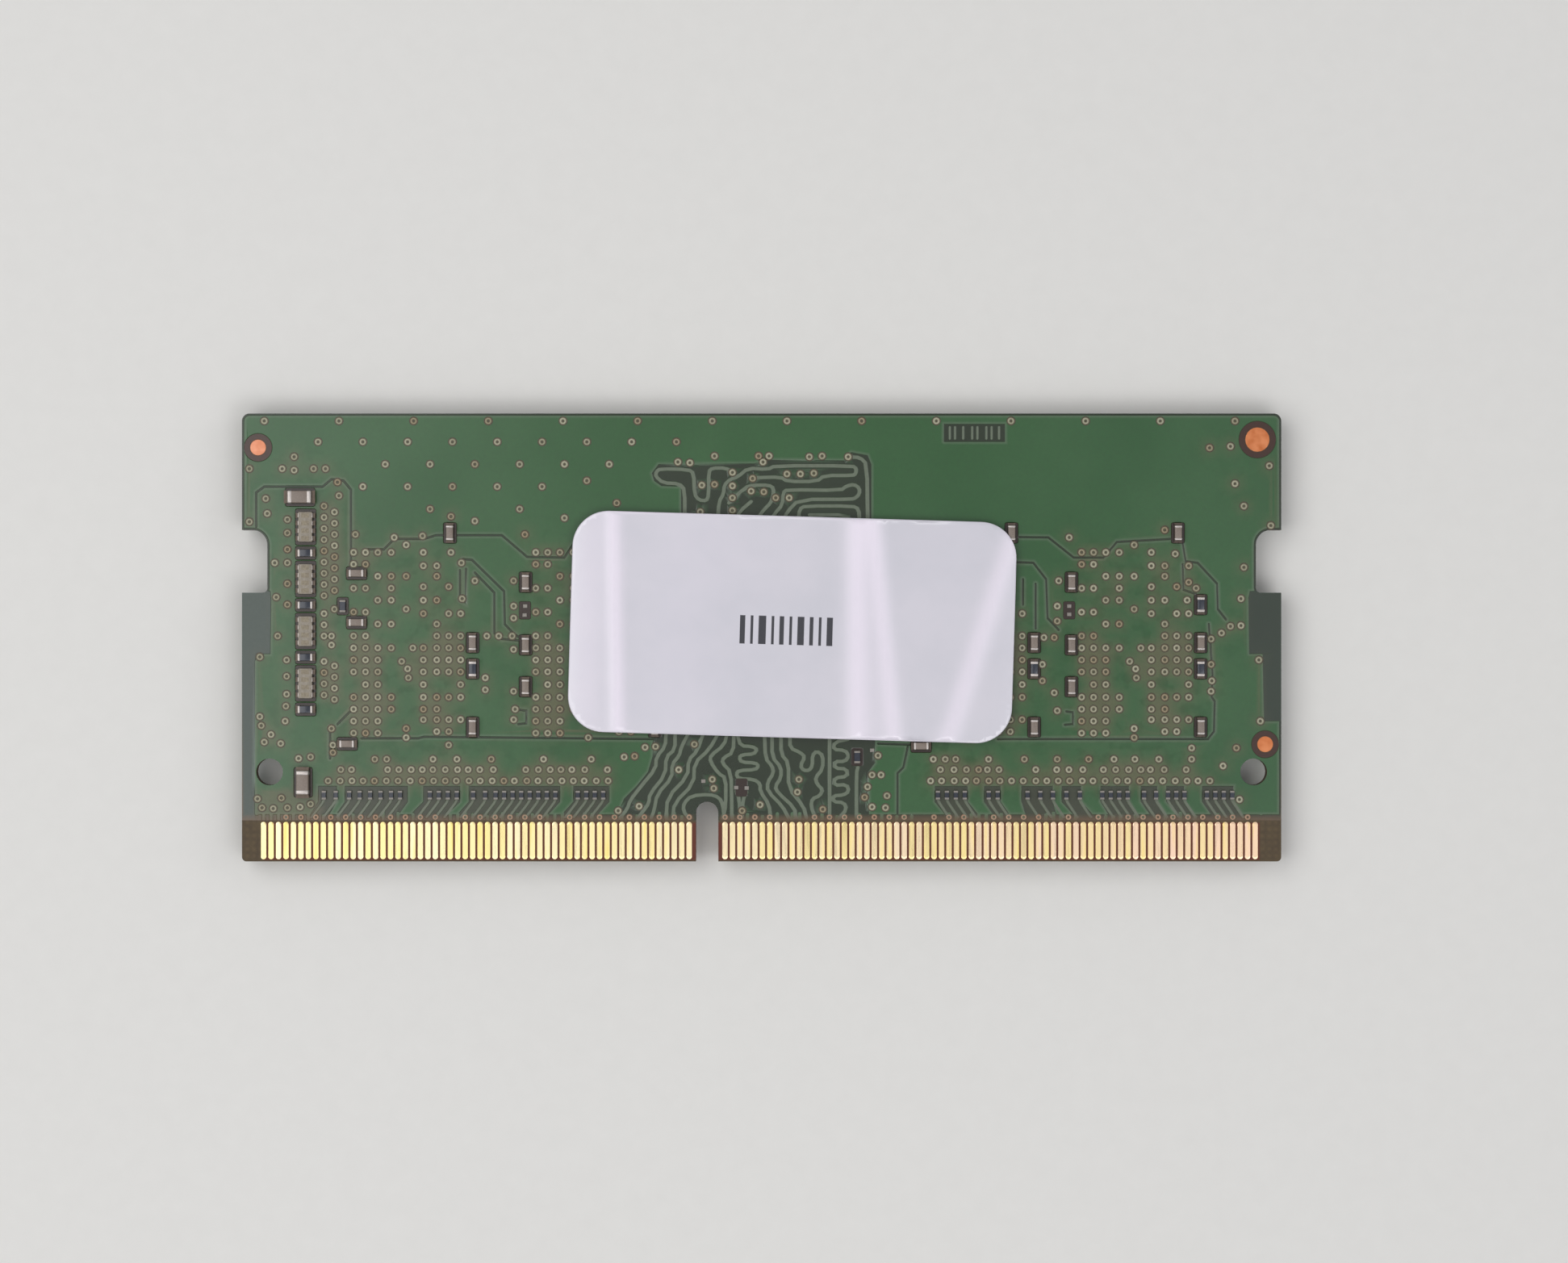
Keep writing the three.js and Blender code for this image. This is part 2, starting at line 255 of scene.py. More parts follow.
def make_gold():
    """Hard gold over nickel on the edge contacts: bright, pale, wiped and a little scratched along
    each finger, and no two fingers of quite the same tone."""
    material, tree, shader = start_material("hard_gold_plating", 0.3, metallic=0.7)
    wiped = grain(tree, 0.3, stretch=(1, 0.06, 1))
    worn = add(tree, "ShaderNodeMapRange", (wiped, 0.52, 0.7, 0.0, 0.4))
    dull = add(tree, "ShaderNodeMapRange", (wiped, 0.3, 0.7, 0.24, 0.42))
    warm_end = along_board(tree, -10.0, 30.0)
    rosy = layered(tree, "#fff0c2", (warm_end, "#ffdabe"))
    plate = layered(
        tree, "#fde89c", (warm_end, "#ffe6a6"), ("tone", rosy), (worn, "#e6cf4e")
    )
    tree.links.new(dull, shader.inputs["Roughness"])
    paint(tree, shader, plate, wiped, 0.006, 0.5)
    return material


def make_copper():
    """Bare copper with an organic finish on the alignment dots: matt, salmon orange, with a fine
    tooth from the etching bath, darker towards the board's right end."""
    material, tree, shader = start_material("bare_etched_copper", 0.48, metallic=0.75)
    stain = grain(tree, 0.8, 2.0, reach=(0.35, 0.7))
    tarnish = along_board(tree, -30.0, 30.0)
    stained = layered(tree, "#cc805d", (tarnish, "#c26f40"))
    dot = layered(tree, "#e19c7d", (tarnish, "#d88a5c"), (stain, stained))
    paint(tree, shader, dot, grain(tree, 0.12), 0.006, 0.6)
    return material


def make_label_film():
    """Gloss white polyester label, cut with round corners and printed by heat transfer: cool white
    with a soft broad shine, a painted highlight along each ridge, and dark ink."""
    material, tree, shader = start_material(
        "gloss_polyester_label", 0.3, IOR=1.5, Coat_Weight=1.0, Coat_Roughness=0.16, Coat_IOR=1.6
    )
    cloud = grain(tree, 6.0, reach=(0.3, 0.7))
    fibre = grain(tree, 0.5, 4.0, stretch=(1, 0.3, 1))
    # The near-white ridge colour is a painted highlight: it stands for light shining off the label's
    # ridges.
    paper = layered(
        tree, "#cfced6", (cloud, "#d8d5dd"), ("crease", "#fcf2ff"), ("ink", "#2b2b33")
    )
    paint(tree, shader, paper, fibre, 0.004, 0.35)
    return material


def make_mould_compound():
    """Black silica-filled epoxy of the memory packages, moulded against a spark-eroded face: fine
    matt grit with a few paler filler grains."""
    material, tree, shader = start_material("silica_filled_epoxy", 0.55, IOR=1.52)
    filler = grain(tree, 0.12, 2.0, reach=(0.62, 0.72))
    moulded = layered(tree, "#1d1d20", (filler, "#34343a"))
    paint(tree, shader, moulded, grain(tree, 0.06), 0.012, 0.7)
    return material


def make_tented_ring():
    """Copper ring of a plated hole seen through thin mask: tan, satin, each a little different,
    with a dark brown disc round it that is the gap in the copper and painted shadow of the raised
    ring."""
    material, tree, shader = start_material("masked_copper_ring", 0.34, IOR=1.52)
    tone = add(tree, "ShaderNodeAttribute", out="Fac", attribute_name="tone")
    rusty = add(tree, "ShaderNodeMapRange", (tone, 0.0, 0.25, 0.35, 0.0))
    dirt = grain(tree, 0.1, 2.0, reach=(0.3, 0.7), to=(0.0, 0.3))
    ring = layered(
        tree, "#918d75", (tone, "#adab93"), (rusty, "#9a7858"), ("rosy", "#b0836a"),
        ("surround", "#3c3124"), ("hollow", "#3f3d2d"), (dirt, "#6b6446"),
    )
    paint(tree, shader, ring, grain(tree, 0.1, 2.0), 0.004, 0.5)
    return material


def two_tones(name, roughness, size_mm, colours, relief, metallic=0.0, **more):
    """A finish of two close tones, mixed by one grain that is its relief too. The relief is its
    depth in millimetres and strength; more are the grain's own settings and the IOR."""
    sockets = {"IOR": more.pop("IOR")} if "IOR" in more else {}
    material, tree, shader = start_material(name, roughness, metallic, **sockets)
    spots = grain(tree, size_mm, **more)
    paint(tree, shader, layered(tree, colours[0], (spots, colours[1])), spots, *relief)
    return material


SOLDER_MASK = make_solder_mask()
LAMINATE = make_laminate()
GOLD = make_gold()
COPPER = make_copper()
# Matt tin plated over nickel on the chips' end caps: light grey metal with a soft sparkle
TIN = two_tones(
    "matt_tin_plating", 0.42, 0.08, ("#b0a8a2", "#cfc8c3"), (0.008, 0.7), metallic=0.75
)
# Hot-air levelled tin on bare lands and the smallest caps: thin, grey, dull from handling
LEVELLED_TIN = two_tones(
    "levelled_tin", 0.5, 0.15, ("#77736c", "#98938c"), (0.008, 0.6), metallic=0.6
)
# Lead-free solder, frozen from the melt: darker than tin, partly from flux and partly as painted shade
# on the fillets, smooth, faintly rippled
SOLDER = two_tones(
    "reflowed_solder_with_painted_shade", 0.34, 0.2, ("#4c433b", "#6a5f55"), (0.01, 0.6), metallic=0.8, detail=2.0
)
# Fired barium titanate of the capacitors: violet brown, close grained, slightly waxy
CAPACITOR = two_tones(
    "fired_capacitor_ceramic", 0.45, 0.06, ("#6f6259", "#877a6e"), (0.004, 0.5), IOR=1.6,
    reach=(0.3, 0.7),
)
# Black glass glaze over the resistors' film: near black, smooth, a bright edge of light
RESISTOR = two_tones(
    "black_resistor_glaze", 0.22, 0.1, ("#262a33", "#3a3f49"), (0.003, 0.4), IOR=1.55, detail=2.0
)
# Alumina blocks of the resistor arrays under a dusty printed glaze: warm grey beige, matt
ARRAY = two_tones(
    "glazed_alumina", 0.5, 0.15, ("#7b7365", "#978e80"), (0.008, 0.6), IOR=1.6, detail=4.0,
    reach=(0.3, 0.7),
)
# Overglaze printed on the arrays' backs: a thin matt coat, browner than the alumina
ARRAY_PRINT = two_tones(
    "matt_overglaze", 0.6, 0.12, ("#7b7160", "#948a76"), (0.006, 0.6), IOR=1.5,
    reach=(0.35, 0.65),
)
LABEL = make_label_film()
MOULD = make_mould_compound()
# Thin resin laminate the dies sit on: dark green, satin, sawn edges with a fine grain
PACKAGE_LAMINATE = two_tones(
    "sawn_package_laminate", 0.5, 0.15, ("#22382a", "#345240"), (0.008, 0.5), IOR=1.5,
    stretch=(1, 1, 0.2),
)
TENTED_RING = make_tented_ring()
# Matt painted studio board: pale, plain, with a barely seen roller grain
FLOOR_PAINT = two_tones("pale_matt_paint", 0.85, 1.5, ("#dddcd8", "#e2e1dd"), (0.02, 0.3))


# ---------------------------------------------------------------- pieces


def keep_piece(obj, replaced=()):
    """Rides a finished piece on the module, and hides the CAD parts that it stands for."""
    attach(obj, "root")
    if replaced:
        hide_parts(*replaced)
    return obj


def link_object(name, mesh):
    obj = bpy.data.objects.new(name, mesh)
    bpy.context.scene.collection.objects.link(obj)
    return obj


def finished(bm, name, finishes):
    """A mesh built in millimetres as an object in metres, with its finishes."""
    bmesh.ops.recalc_face_normals(bm, faces=bm.faces)
    bmesh.ops.scale(bm, vec=(MM, MM, MM), verts=bm.verts)
    mesh = bpy.data.meshes.new(name)
    bm.to_mesh(mesh)
    bm.free()
    for finish in finishes:
        mesh.materials.append(finish)
    return link_object(name, mesh)


# ---------------------------------------------------------------- flat shapes


def arc(centre, radius, start, end, steps=8):
    """Points on a circle from one angle to another, in degrees."""
    turns = [math.radians(start + (end - start) * k / steps) for k in range(steps + 1)]
    return [(centre[0] + radius * math.cos(t), centre[1] + radius * math.sin(t)) for t in turns]


def circle(centre, radius, steps=16):
    return arc(centre, radius, 0, 360, steps)[:-1]


def rectangle(low, high):
    return [low, (high[0], low[1]), high, (low[0], high[1])]


def rounded_rectangle(low, high, radius, steps=8):
    corners = [(high[0], high[1], 0), (low[0], high[1], 90), (low[0], low[1], 180)]
    corners.append((high[0], low[1], 270))
    ring = []
    for u, v, start in corners:
        middle = (
            u - radius if u == high[0] else u + radius,
            v - radius if v == high[1] else v + radius,
        )
        ring += arc(middle, radius, start, start + 90, steps)
    return ring


def stroke(line, width, cap_steps=4):
    """The outline of a line of that width, with mitred corners and round ends."""
    line = [Vector(p) for p in line]
    half = width / 2
    ways = [(b - a).normalized() for a, b in zip(line, line[1:])]
    left, right = [], []
    for k in range(1, len(line) - 1):
        normal = Vector((-ways[k - 1].y, ways[k - 1].x)) + Vector((-ways[k].y, ways[k].x))
        normal = normal / max(normal.length_squared / 2, 0.5)
        left.append(line[k] + normal * half)
        right.append(line[k] - normal * half)
    end_turn = math.degrees(math.atan2(ways[-1].y, ways[-1].x))
    start_turn = math.degrees(math.atan2(ways[0].y, ways[0].x))
    end_cap = arc(line[-1], half, end_turn - 90, end_turn + 90, cap_steps)
    start_cap = arc(line[0], half, start_turn + 90, start_turn + 270, cap_steps)
    return [tuple(p) for p in right] + end_cap + [tuple(p) for p in reversed(left)] + start_cap


def eased(line):
    """The same line with its corners cut off and its ends kept."""
    soft = [line[0]]
    for (u, v), (next_u, next_v) in zip(line, line[1:]):
        for share in (0.25, 0.75):
            soft.append((u + (next_u - u) * share, v + (next_v - v) * share))
    return [*soft, line[-1]]


def edge_distance(points, ring, closed=True):
    """How far each point is from a ring's or an open line's edges."""
    ring = np.asarray(ring, float)
    starts = ring if closed else ring[:-1]
    ends = np.roll(ring, -1, axis=0) if closed else ring[1:]
    nearest = np.full(len(points), 1e9)
    for start, end in zip(starts, ends):
        way = end - start
        length = max(way @ way, 1e-12)
        along = np.clip((points - start) @ way / length, 0, 1)
        gap = points - start - along[:, None] * way
        nearest = np.minimum(nearest, np.hypot(gap[:, 0], gap[:, 1]))
    return nearest


def inside(points, ring):
    """Which points are inside a ring."""
    ring = np.asarray(ring, float)
    odd = np.zeros(len(points), bool)
    for start, end in zip(ring, np.roll(ring, -1, axis=0)):
        crosses = (start[1] > points[:, 1]) != (end[1] > points[:, 1])
        rise = end[1] - start[1]
        if rise != 0:
            at = start[0] + (points[:, 1] - start[1]) * (end[0] - start[0]) / rise
            odd ^= crosses & (points[:, 0] < at)
    return odd


def depth_inside(points, ring):
    """Distance from a ring's edge, positive inside it."""
    distance = edge_distance(points, ring)
    return np.where(inside(points, ring), distance, -distance)


# ---------------------------------------------------------------- the board's outline

KEY_CENTRE = 31.15
KEY_WIDTH = 1.5
KEY_DEPTH = 4.0
LATCH_LOW = 18.0
LATCH_HIGH = 22.2
LATCH_DEPTH = 1.7
LATCH_UPPER_RADIUS = 1.0
LATCH_LOWER_RADIUS = 0.3
CORNER_RADIUS = 0.5
HOLE_RADIUS = 0.9
HOLE_FROM_SIDE = 1.85
HOLE_RISE = 6.0


def mirrored(points):
    """The same ring of points for the other end of the board, in the opposite order."""
    return [(BOARD_WIDTH - u, v) for u, v in reversed(points)]


def right_latch(inset):
    """The right latch notch from its lower mouth to its upper one."""
    side = BOARD_WIDTH - inset
    wall = BOARD_WIDTH - LATCH_DEPTH - inset
    low = LATCH_LOW - inset
    high = LATCH_HIGH + inset
    lower = LATCH_LOWER_RADIUS + inset
    upper = LATCH_UPPER_RADIUS + inset
    ring = [(side, low)]
    ring += arc((wall + lower, low + lower), lower, 270, 180, 5)
    ring += arc((wall + upper, high - upper), upper, 180, 90, 8)
    return ring + [(side, high)]


def board_ring(low_edge, inset=0.0):
    """The board's outline above a straight lower edge, drawn in by inset all round."""
    key_radius = KEY_WIDTH / 2 + inset
    key_top = KEY_DEPTH - KEY_WIDTH / 2
    radius = max(CORNER_RADIUS - inset, 0.12)
    right = BOARD_WIDTH - inset
    top = BOARD_HEIGHT - inset
    ring = [(inset, low_edge), (KEY_CENTRE - key_radius, low_edge)]
    if low_edge < key_top:
        ring += arc((KEY_CENTRE, key_top), key_radius, 180, 0, 12)
    ring += [(KEY_CENTRE + key_radius, low_edge), (right, low_edge)]
    ring += right_latch(inset)
    ring += arc((right - radius, top - radius), radius, 0, 90, 4)
    ring += mirrored(arc((right - radius, top - radius), radius, 0, 90, 4))
    ring += mirrored(right_latch(inset))
    return ring


HOLES = [(HOLE_FROM_SIDE, HOLE_RISE), (BOARD_WIDTH - HOLE_FROM_SIDE, HOLE_RISE)]
# Each alignment dot, and how wide the opening in the mask round it is
DOTS = [
    ("alignment_dot_left", 1.9),
    ("alignment_dot_right", 2.5),
    ("alignment_dot_lower", 1.85),
]
DOT_GAP = 0.03


def dot_radius(node):
    low, high = box_mm(node)
    return (high.x - low.x) / 2


# ---------------------------------------------------------------- copper under the mask

POUR_INSET = 0.14
POUR_LOW = 3.15
TRACE_WIDTH = 0.25
FAN_WIDTH = 0.18
GAP_WIDTH = 0.13
SHOULDER = 0.05

# Windows in the copper pour, where thin traces run over bare laminate
UPPER_WINDOW = [
    (27.45, 26.0), (27.9, 26.6), (34.3, 26.65), (35.2, 26.9), (40.3, 26.85), (40.8, 27.4),
    (41.9, 27.2), (42.15, 26.6), (42.15, 21.0), (29.4, 21.0), (29.4, 25.1), (28.1, 25.15),
    (27.6, 25.5),
]
LOWER_WINDOW = [
    (28.3, 10.5), (27.5, 7.9), (27.5, 7.0), (27.2, 6.0), (26.4, 5.0), (25.6, 4.2), (25.3, 3.5),
    (25.1, 3.0), (42.0, 3.0), (41.95, 6.0), (42.4, 6.6), (42.4, 10.5),
]
LEFT_LATCH_PATCH = [(-0.5, 13.9), (1.9, 13.9), (1.95, 17.6), (1.9, 18.1), (-0.5, 18.1)]
LEFT_STRIP = [(-0.5, 2.5), (0.85, 2.5), (0.9, 13.4), (0.95, 13.9), (-0.5, 13.9)]
RIGHT_LATCH_PATCH = [(67.45, 13.9), (70.1, 13.9), (70.1, 18.1), (67.5, 18.1), (67.4, 17.6)]
RIGHT_STRIP = [(68.45, 9.4), (70.1, 9.4), (70.1, 13.9), (68.35, 13.9)]
DATE_STRIP = [(47.0, 28.1), (51.1, 28.1), (51.1, 29.3), (47.0, 29.3)]
# Each window above the contacts: left end, right end, lean of its lower edge
CONTACT_WINDOWS = [
    (5.1, 6.35, -0.6), (6.9, 11.1, -0.7), (12.15, 14.6, -1.0), (15.2, 21.3, -0.9),
    (22.2, 24.6, -0.9), (46.4, 48.6, 0.8), (49.7, 50.8, 0.7), (52.2, 54.3, 0.3),
    (54.9, 56.2, 0.9), (57.5, 59.4, 0.6), (60.2, 61.3, 0.7), (61.9, 63.1, 0.8), (64.3, 66.4, 0.7),
]
CONTACT_WINDOW_TOP = 5.05


def contact_window(left, right, lean):
    low = POUR_LOW - 0.15
    top = CONTACT_WINDOW_TOP
    knee = 4.0
    return [(left + lean, low), (right + lean, low), (right, knee), (right, top), (left, top),
            (left, knee)]


WINDOWS = [UPPER_WINDOW, LOWER_WINDOW, LEFT_LATCH_PATCH, LEFT_STRIP, RIGHT_LATCH_PATCH]
WINDOWS += [RIGHT_STRIP, DATE_STRIP]
WINDOWS += [contact_window(*window) for window in CONTACT_WINDOWS]
# Browner mask under the left hole and in the windows above the contacts
STAINED_PATCHES = [([(0.85, 2.8), (5.4, 2.8), (5.2, 4.4), (3.0, 4.9), (0.9, 4.7)], 0.55)]
STAINED_PATCHES += [(contact_window(*window), 0.17) for window in CONTACT_WINDOWS]
STAIN_FADE = 0.3
PALE_PATCHES = [(LEFT_LATCH_PATCH, 0.52), (LEFT_STRIP, 0.52), (RIGHT_LATCH_PATCH, 0.13)]
PALE_PATCHES += [(RIGHT_STRIP, 0.13)]
PALE_PATCHES += [(contact_window(*window), 0.1) for window in CONTACT_WINDOWS]

# Thin gaps that part one copper area from the next
GAPS = [
    [(0.95, 22.4), (0.95, 24.7), (1.5, 25.1), (5.4, 25.1), (6.0, 25.6), (6.8, 25.5), (7.3, 24.9),
     (7.3, 19.9)],
    [(8.4, 20.9), (9.5, 20.9), (10.2, 21.6), (12.2, 21.6), (13.0, 21.85), (17.4, 21.85),
     (19.1, 20.4), (21.6, 20.35), (22.3, 21.4), (25.5, 21.7)],
    [(14.5, 19.9), (14.8, 20.25), (15.4, 20.2), (17.55, 18.1), (17.6, 15.9), (18.2, 15.25),
     (18.6, 15.0)],
    [(14.6, 19.5), (14.6, 17.5), (15.0, 17.3), (15.0, 19.6)],
    [(15.6, 19.35), (16.9, 18.0), (16.9, 15.3), (17.4, 14.9), (18.5, 14.8)],
    [(50.0, 21.75), (54.0, 21.7), (55.7, 20.35), (57.7, 20.35), (58.6, 21.4), (62.2, 21.6)],
    [(50.5, 20.1), (53.0, 20.0), (53.85, 18.9), (53.95, 16.3), (54.7, 15.5)],
    [(52.3, 18.9), (52.3, 17.2)],
    [(53.15, 18.6), (53.15, 15.6)],
    [(63.0, 21.3), (63.2, 20.1), (64.0, 20.0), (65.3, 18.6), (65.35, 16.9), (65.9, 16.2)],
    [(63.0, 19.9), (63.05, 18.2), (63.9, 17.9)],
    [(64.75, 15.9), (65.0, 12.5), (64.95, 11.0), (65.15, 10.7), (65.1, 8.7), (64.7, 8.2),
     (50.6, 8.2)],
    [(8.0, 8.25), (11.8, 8.25), (12.2, 8.35), (27.6, 8.2)],
    [(6.4, 9.2), (7.4, 10.2), (7.7, 10.3)],
    [(5.9, 9.0), (5.9, 6.9)],
    [(42.6, 7.9), (45.5, 7.8), (46.0, 8.2)],
    [(44.6, 7.7), (44.3, 6.3), (43.9, 5.9), (43.9, 3.2)],
    [(18.6, 10.15), (19.05, 10.1), (19.05, 9.25), (18.5, 9.2)],
    [(55.2, 10.05), (55.65, 10.0), (55.65, 9.2), (55.1, 9.15)],
]

# Traces: a list of corners each
UPPER_TRACES = [
    [(29.65, 22.6), (29.65, 24.9), (29.3, 25.3), (28.2, 25.35), (27.7, 25.8), (27.75, 26.1),
     (28.0, 26.3), (29.9, 26.25), (30.25, 26.0), (30.3, 24.6), (30.6, 24.2), (31.1, 24.15),
     (31.25, 24.5), (31.25, 26.1), (31.5, 26.35), (32.4, 26.35), (32.85, 26.05)],
    [(31.85, 22.8), (31.95, 24.1), (32.25, 24.6), (32.3, 25.2), (32.7, 25.6), (33.2, 25.75),
     (33.9, 26.35), (35.2, 26.25), (35.7, 26.5), (40.9, 26.5), (41.15, 26.3), (41.1, 25.95),
     (40.9, 25.85), (39.0, 25.85), (38.5, 25.45), (36.5, 25.45), (36.1, 25.75), (34.3, 25.7)],
    [(32.6, 24.0), (33.7, 25.05), (34.2, 25.2), (35.3, 25.2), (35.6, 25.0), (35.55, 24.4),
     (35.4, 24.0), (35.0, 23.6), (34.4, 22.8)],
    [(33.0, 22.8), (33.4, 23.5), (34.1, 24.1)],
    [(35.4, 22.8), (35.7, 23.3), (36.2, 23.9), (36.25, 24.7), (36.5, 24.9), (40.1, 24.85),
     (40.5, 25.15), (41.0, 25.25), (41.35, 25.0), (41.35, 24.6), (41.1, 24.35), (40.8, 24.25),
     (37.3, 24.25), (36.5, 23.4), (36.3, 22.8)],
    [(37.25, 22.8), (37.35, 23.6), (37.7, 23.8), (40.9, 23.8), (41.3, 23.6), (41.35, 22.8)],
    [(38.0, 23.2), (40.6, 23.2), (40.6, 22.8)],
    [(40.7, 27.1), (41.4, 27.05), (41.85, 26.6), (41.9, 22.8)],
]
LOWER_TRACES = [
    [(28.4, 8.6), (28.35, 7.7), (27.75, 7.0), (27.7, 6.2), (26.7, 5.0), (26.0, 4.1), (25.8, 3.5),
     (25.3, 2.9)],
    [(29.0, 8.6), (29.0, 7.5), (28.4, 7.0), (28.35, 5.8), (27.3, 4.5), (27.25, 3.9), (26.9, 3.4),
     (26.5, 2.9)],
    [(29.9, 8.6), (29.4, 7.6), (29.3, 7.1), (28.8, 6.5), (28.8, 5.6), (27.8, 4.5), (27.6, 3.4),
     (27.4, 2.9)],
    [(30.9, 8.6), (30.5, 7.4), (29.9, 6.8), (29.85, 5.7), (28.5, 4.3), (28.4, 2.9)],
    [(31.9, 8.6), (31.3, 7.5), (30.3, 6.6), (30.25, 5.2), (28.95, 3.9), (28.85, 2.9)],
    [(32.5, 8.6), (32.3, 7.8), (31.4, 7.1), (31.35, 6.7), (31.9, 5.9), (32.4, 5.6), (32.4, 3.7),
     (32.2, 2.9)],
    [(32.95, 8.6), (32.9, 7.3), (32.25, 6.95), (32.15, 6.6), (32.75, 6.0), (32.8, 3.9),
     (32.8, 2.9)],
    [(29.9, 2.9), (29.55, 3.4), (29.6, 3.9), (30.1, 4.4), (31.3, 4.5), (31.95, 4.3), (32.2, 3.8),
     (32.3, 2.9)],
    [(33.1, 4.7), (33.3, 4.2), (33.35, 2.9)],
    [(33.8, 4.65), (33.55, 4.15), (33.5, 2.9)],
    [(33.2, 8.4), (33.4, 7.75), (34.2, 7.7), (34.5, 7.5), (34.3, 7.2), (33.5, 7.15), (33.3, 6.95),
     (33.45, 6.65), (34.4, 6.6), (34.6, 6.4), (34.4, 6.15), (33.3, 6.1), (33.1, 5.85),
     (33.25, 5.55), (34.3, 5.5), (34.7, 5.2), (34.7, 4.7), (35.3, 3.8), (35.4, 2.9)],
    [(35.0, 8.4), (35.05, 6.9), (35.5, 6.4), (35.6, 5.9), (35.2, 5.3), (35.2, 4.7), (36.2, 3.7),
     (36.6, 2.9)],
    [(35.5, 8.4), (35.5, 7.0), (36.1, 6.3), (36.1, 5.6), (35.7, 5.0), (35.9, 4.6), (37.0, 3.6),
     (37.1, 2.9)],
    [(36.1, 8.4), (36.1, 7.2), (36.6, 6.6), (36.6, 4.9), (37.6, 3.7), (37.8, 2.9)],
    [(36.7, 8.4), (36.7, 7.6), (37.4, 7.3), (37.7, 7.0), (37.4, 6.4), (37.6, 6.1), (38.0, 6.1),
     (38.2, 6.4), (38.2, 7.1), (38.5, 7.4), (38.9, 7.1), (38.9, 6.2), (38.4, 5.6), (38.5, 5.2),
     (38.9, 4.8), (38.7, 4.4), (38.2, 4.2), (38.1, 3.7), (38.4, 2.9)],
    [(39.35, 8.4), (39.35, 2.9)],
    [(40.6, 8.2), (39.7, 8.0), (39.6, 7.5), (40.4, 7.45), (40.65, 7.05), (40.4, 6.7), (39.7, 6.7),
     (39.7, 6.25), (40.5, 6.2), (40.55, 5.7), (39.7, 5.6), (39.65, 5.1), (40.5, 5.15), (40.65, 4.7),
     (40.3, 4.45), (39.6, 4.4), (39.6, 4.0), (40.3, 3.95), (40.5, 3.5), (40.0, 2.9)],
    [(41.25, 6.3), (41.15, 5.9), (41.15, 2.9)],
]
# Rails of copper along the board's ends
RAILS = [
    [(0.98, 3.2), (0.98, 13.4)],
    [(68.25, 9.4), (68.25, 13.5)],
    [(69.05, 22.8), (69.05, 26.8)],
    [(0.62, 22.9), (0.62, 26.6)],
    [(64.8, 15.0), (65.6, 15.25), (66.2, 15.75), (66.9, 15.85)],
    [(68.25, 3.2), (68.3, 4.7)],
]
RAIL_WIDTH = 0.24


# ---------------------------------------------------------------- plated holes

UPPER_WINDOW_HOLES = [
    (29.2, 26.75), (30.0, 26.7), (31.65, 27.15), (34.6, 27.15), (35.3, 27.15), (34.9, 26.75),
    (38.0, 27.1), (38.85, 27.15), (40.6, 27.1), (32.85, 26.05), (32.85, 25.15), (32.85, 24.35),
    (32.85, 23.5), (34.2, 25.65), (34.1, 24.8), (34.95, 24.75), (35.75, 24.35), (36.65, 24.35),
    (36.5, 25.95), (37.4, 25.95), (38.3, 26.0), (30.8, 25.2), (31.65, 25.25), (30.7, 23.4),
]
LOWER_WINDOW_HOLES = [
    (25.6, 7.0), (26.3, 7.05), (27.0, 7.65), (27.7, 7.7), (30.3, 7.85), (29.25, 6.15),
    (31.5, 5.5), (31.6, 4.9), (34.7, 3.8), (26.6, 3.7), (25.2, 3.4), (37.3, 5.5), (37.2, 4.65),
    (33.5, 3.4), (38.9, 3.5), (42.2, 5.8), (42.8, 5.8), (41.9, 5.0), (41.7, 4.3), (42.2, 3.65),
    (42.6, 7.1), (43.2, 4.4), (43.1, 3.6),
]
LEFT_END_HOLES = [
    (3.05, 22.9), (3.05, 22.0), (3.05, 20.9), (3.05, 20.0), (3.05, 18.6), (3.05, 17.2),
    (3.0, 13.5), (3.0, 12.4), (3.0, 11.2), (2.95, 10.4), (2.9, 9.4), (2.2, 20.0), (2.3, 17.7),
    (1.2, 13.7), (1.2, 9.7), (1.95, 8.5), (1.5, 8.0), (1.3, 9.1), (2.6, 7.9), (4.8, 26.3),
    (5.6, 26.3), (3.5, 27.1), (3.5, 26.2), (2.7, 26.3), (6.4, 25.4), (6.5, 24.5), (7.6, 21.9),
    (1.6, 24.3), (1.7, 23.3), (3.0, 24.9), (3.8, 6.9), (4.6, 7.0), (6.0, 8.9), (6.1, 7.8),
    (6.1, 7.3), (7.5, 18.35), (8.3, 18.3), (8.6, 16.6), (2.4, 15.1), (0.5, 26.3), (7.4, 14.9),
    (6.2, 16.9), (7.0, 9.3), (1.05, 4.2), (1.35, 3.6), (2.1, 3.55), (2.65, 4.25), (3.05, 3.6),
    (3.9, 3.65), (4.6, 3.85), (0.5, 22.75),
]
RIGHT_END_HOLES = [
    (64.8, 27.7), (66.2, 27.8), (66.5, 25.3), (67.1, 23.8), (68.8, 26.5), (68.9, 22.5),
    (55.4, 21.7), (61.8, 22.2), (67.1, 19.7), (66.9, 17.6), (62.5, 20.6), (63.4, 19.8),
    (63.4, 18.7), (63.9, 18.3), (63.3, 17.5), (65.6, 15.3), (66.2, 15.75), (66.9, 15.8),
    (68.1, 13.5), (68.2, 9.4), (63.6, 7.6), (66.6, 7.6), (65.7, 6.4), (66.8, 4.15), (54.7, 18.8),
    (54.6, 17.1), (54.6, 16.1), (54.4, 15.0), (53.7, 15.0), (54.4, 11.3), (54.6, 10.1),
    (53.6, 13.2), (53.6, 12.1), (64.9, 14.9), (64.9, 13.2), (64.95, 12.1), (64.9, 11.4),
]
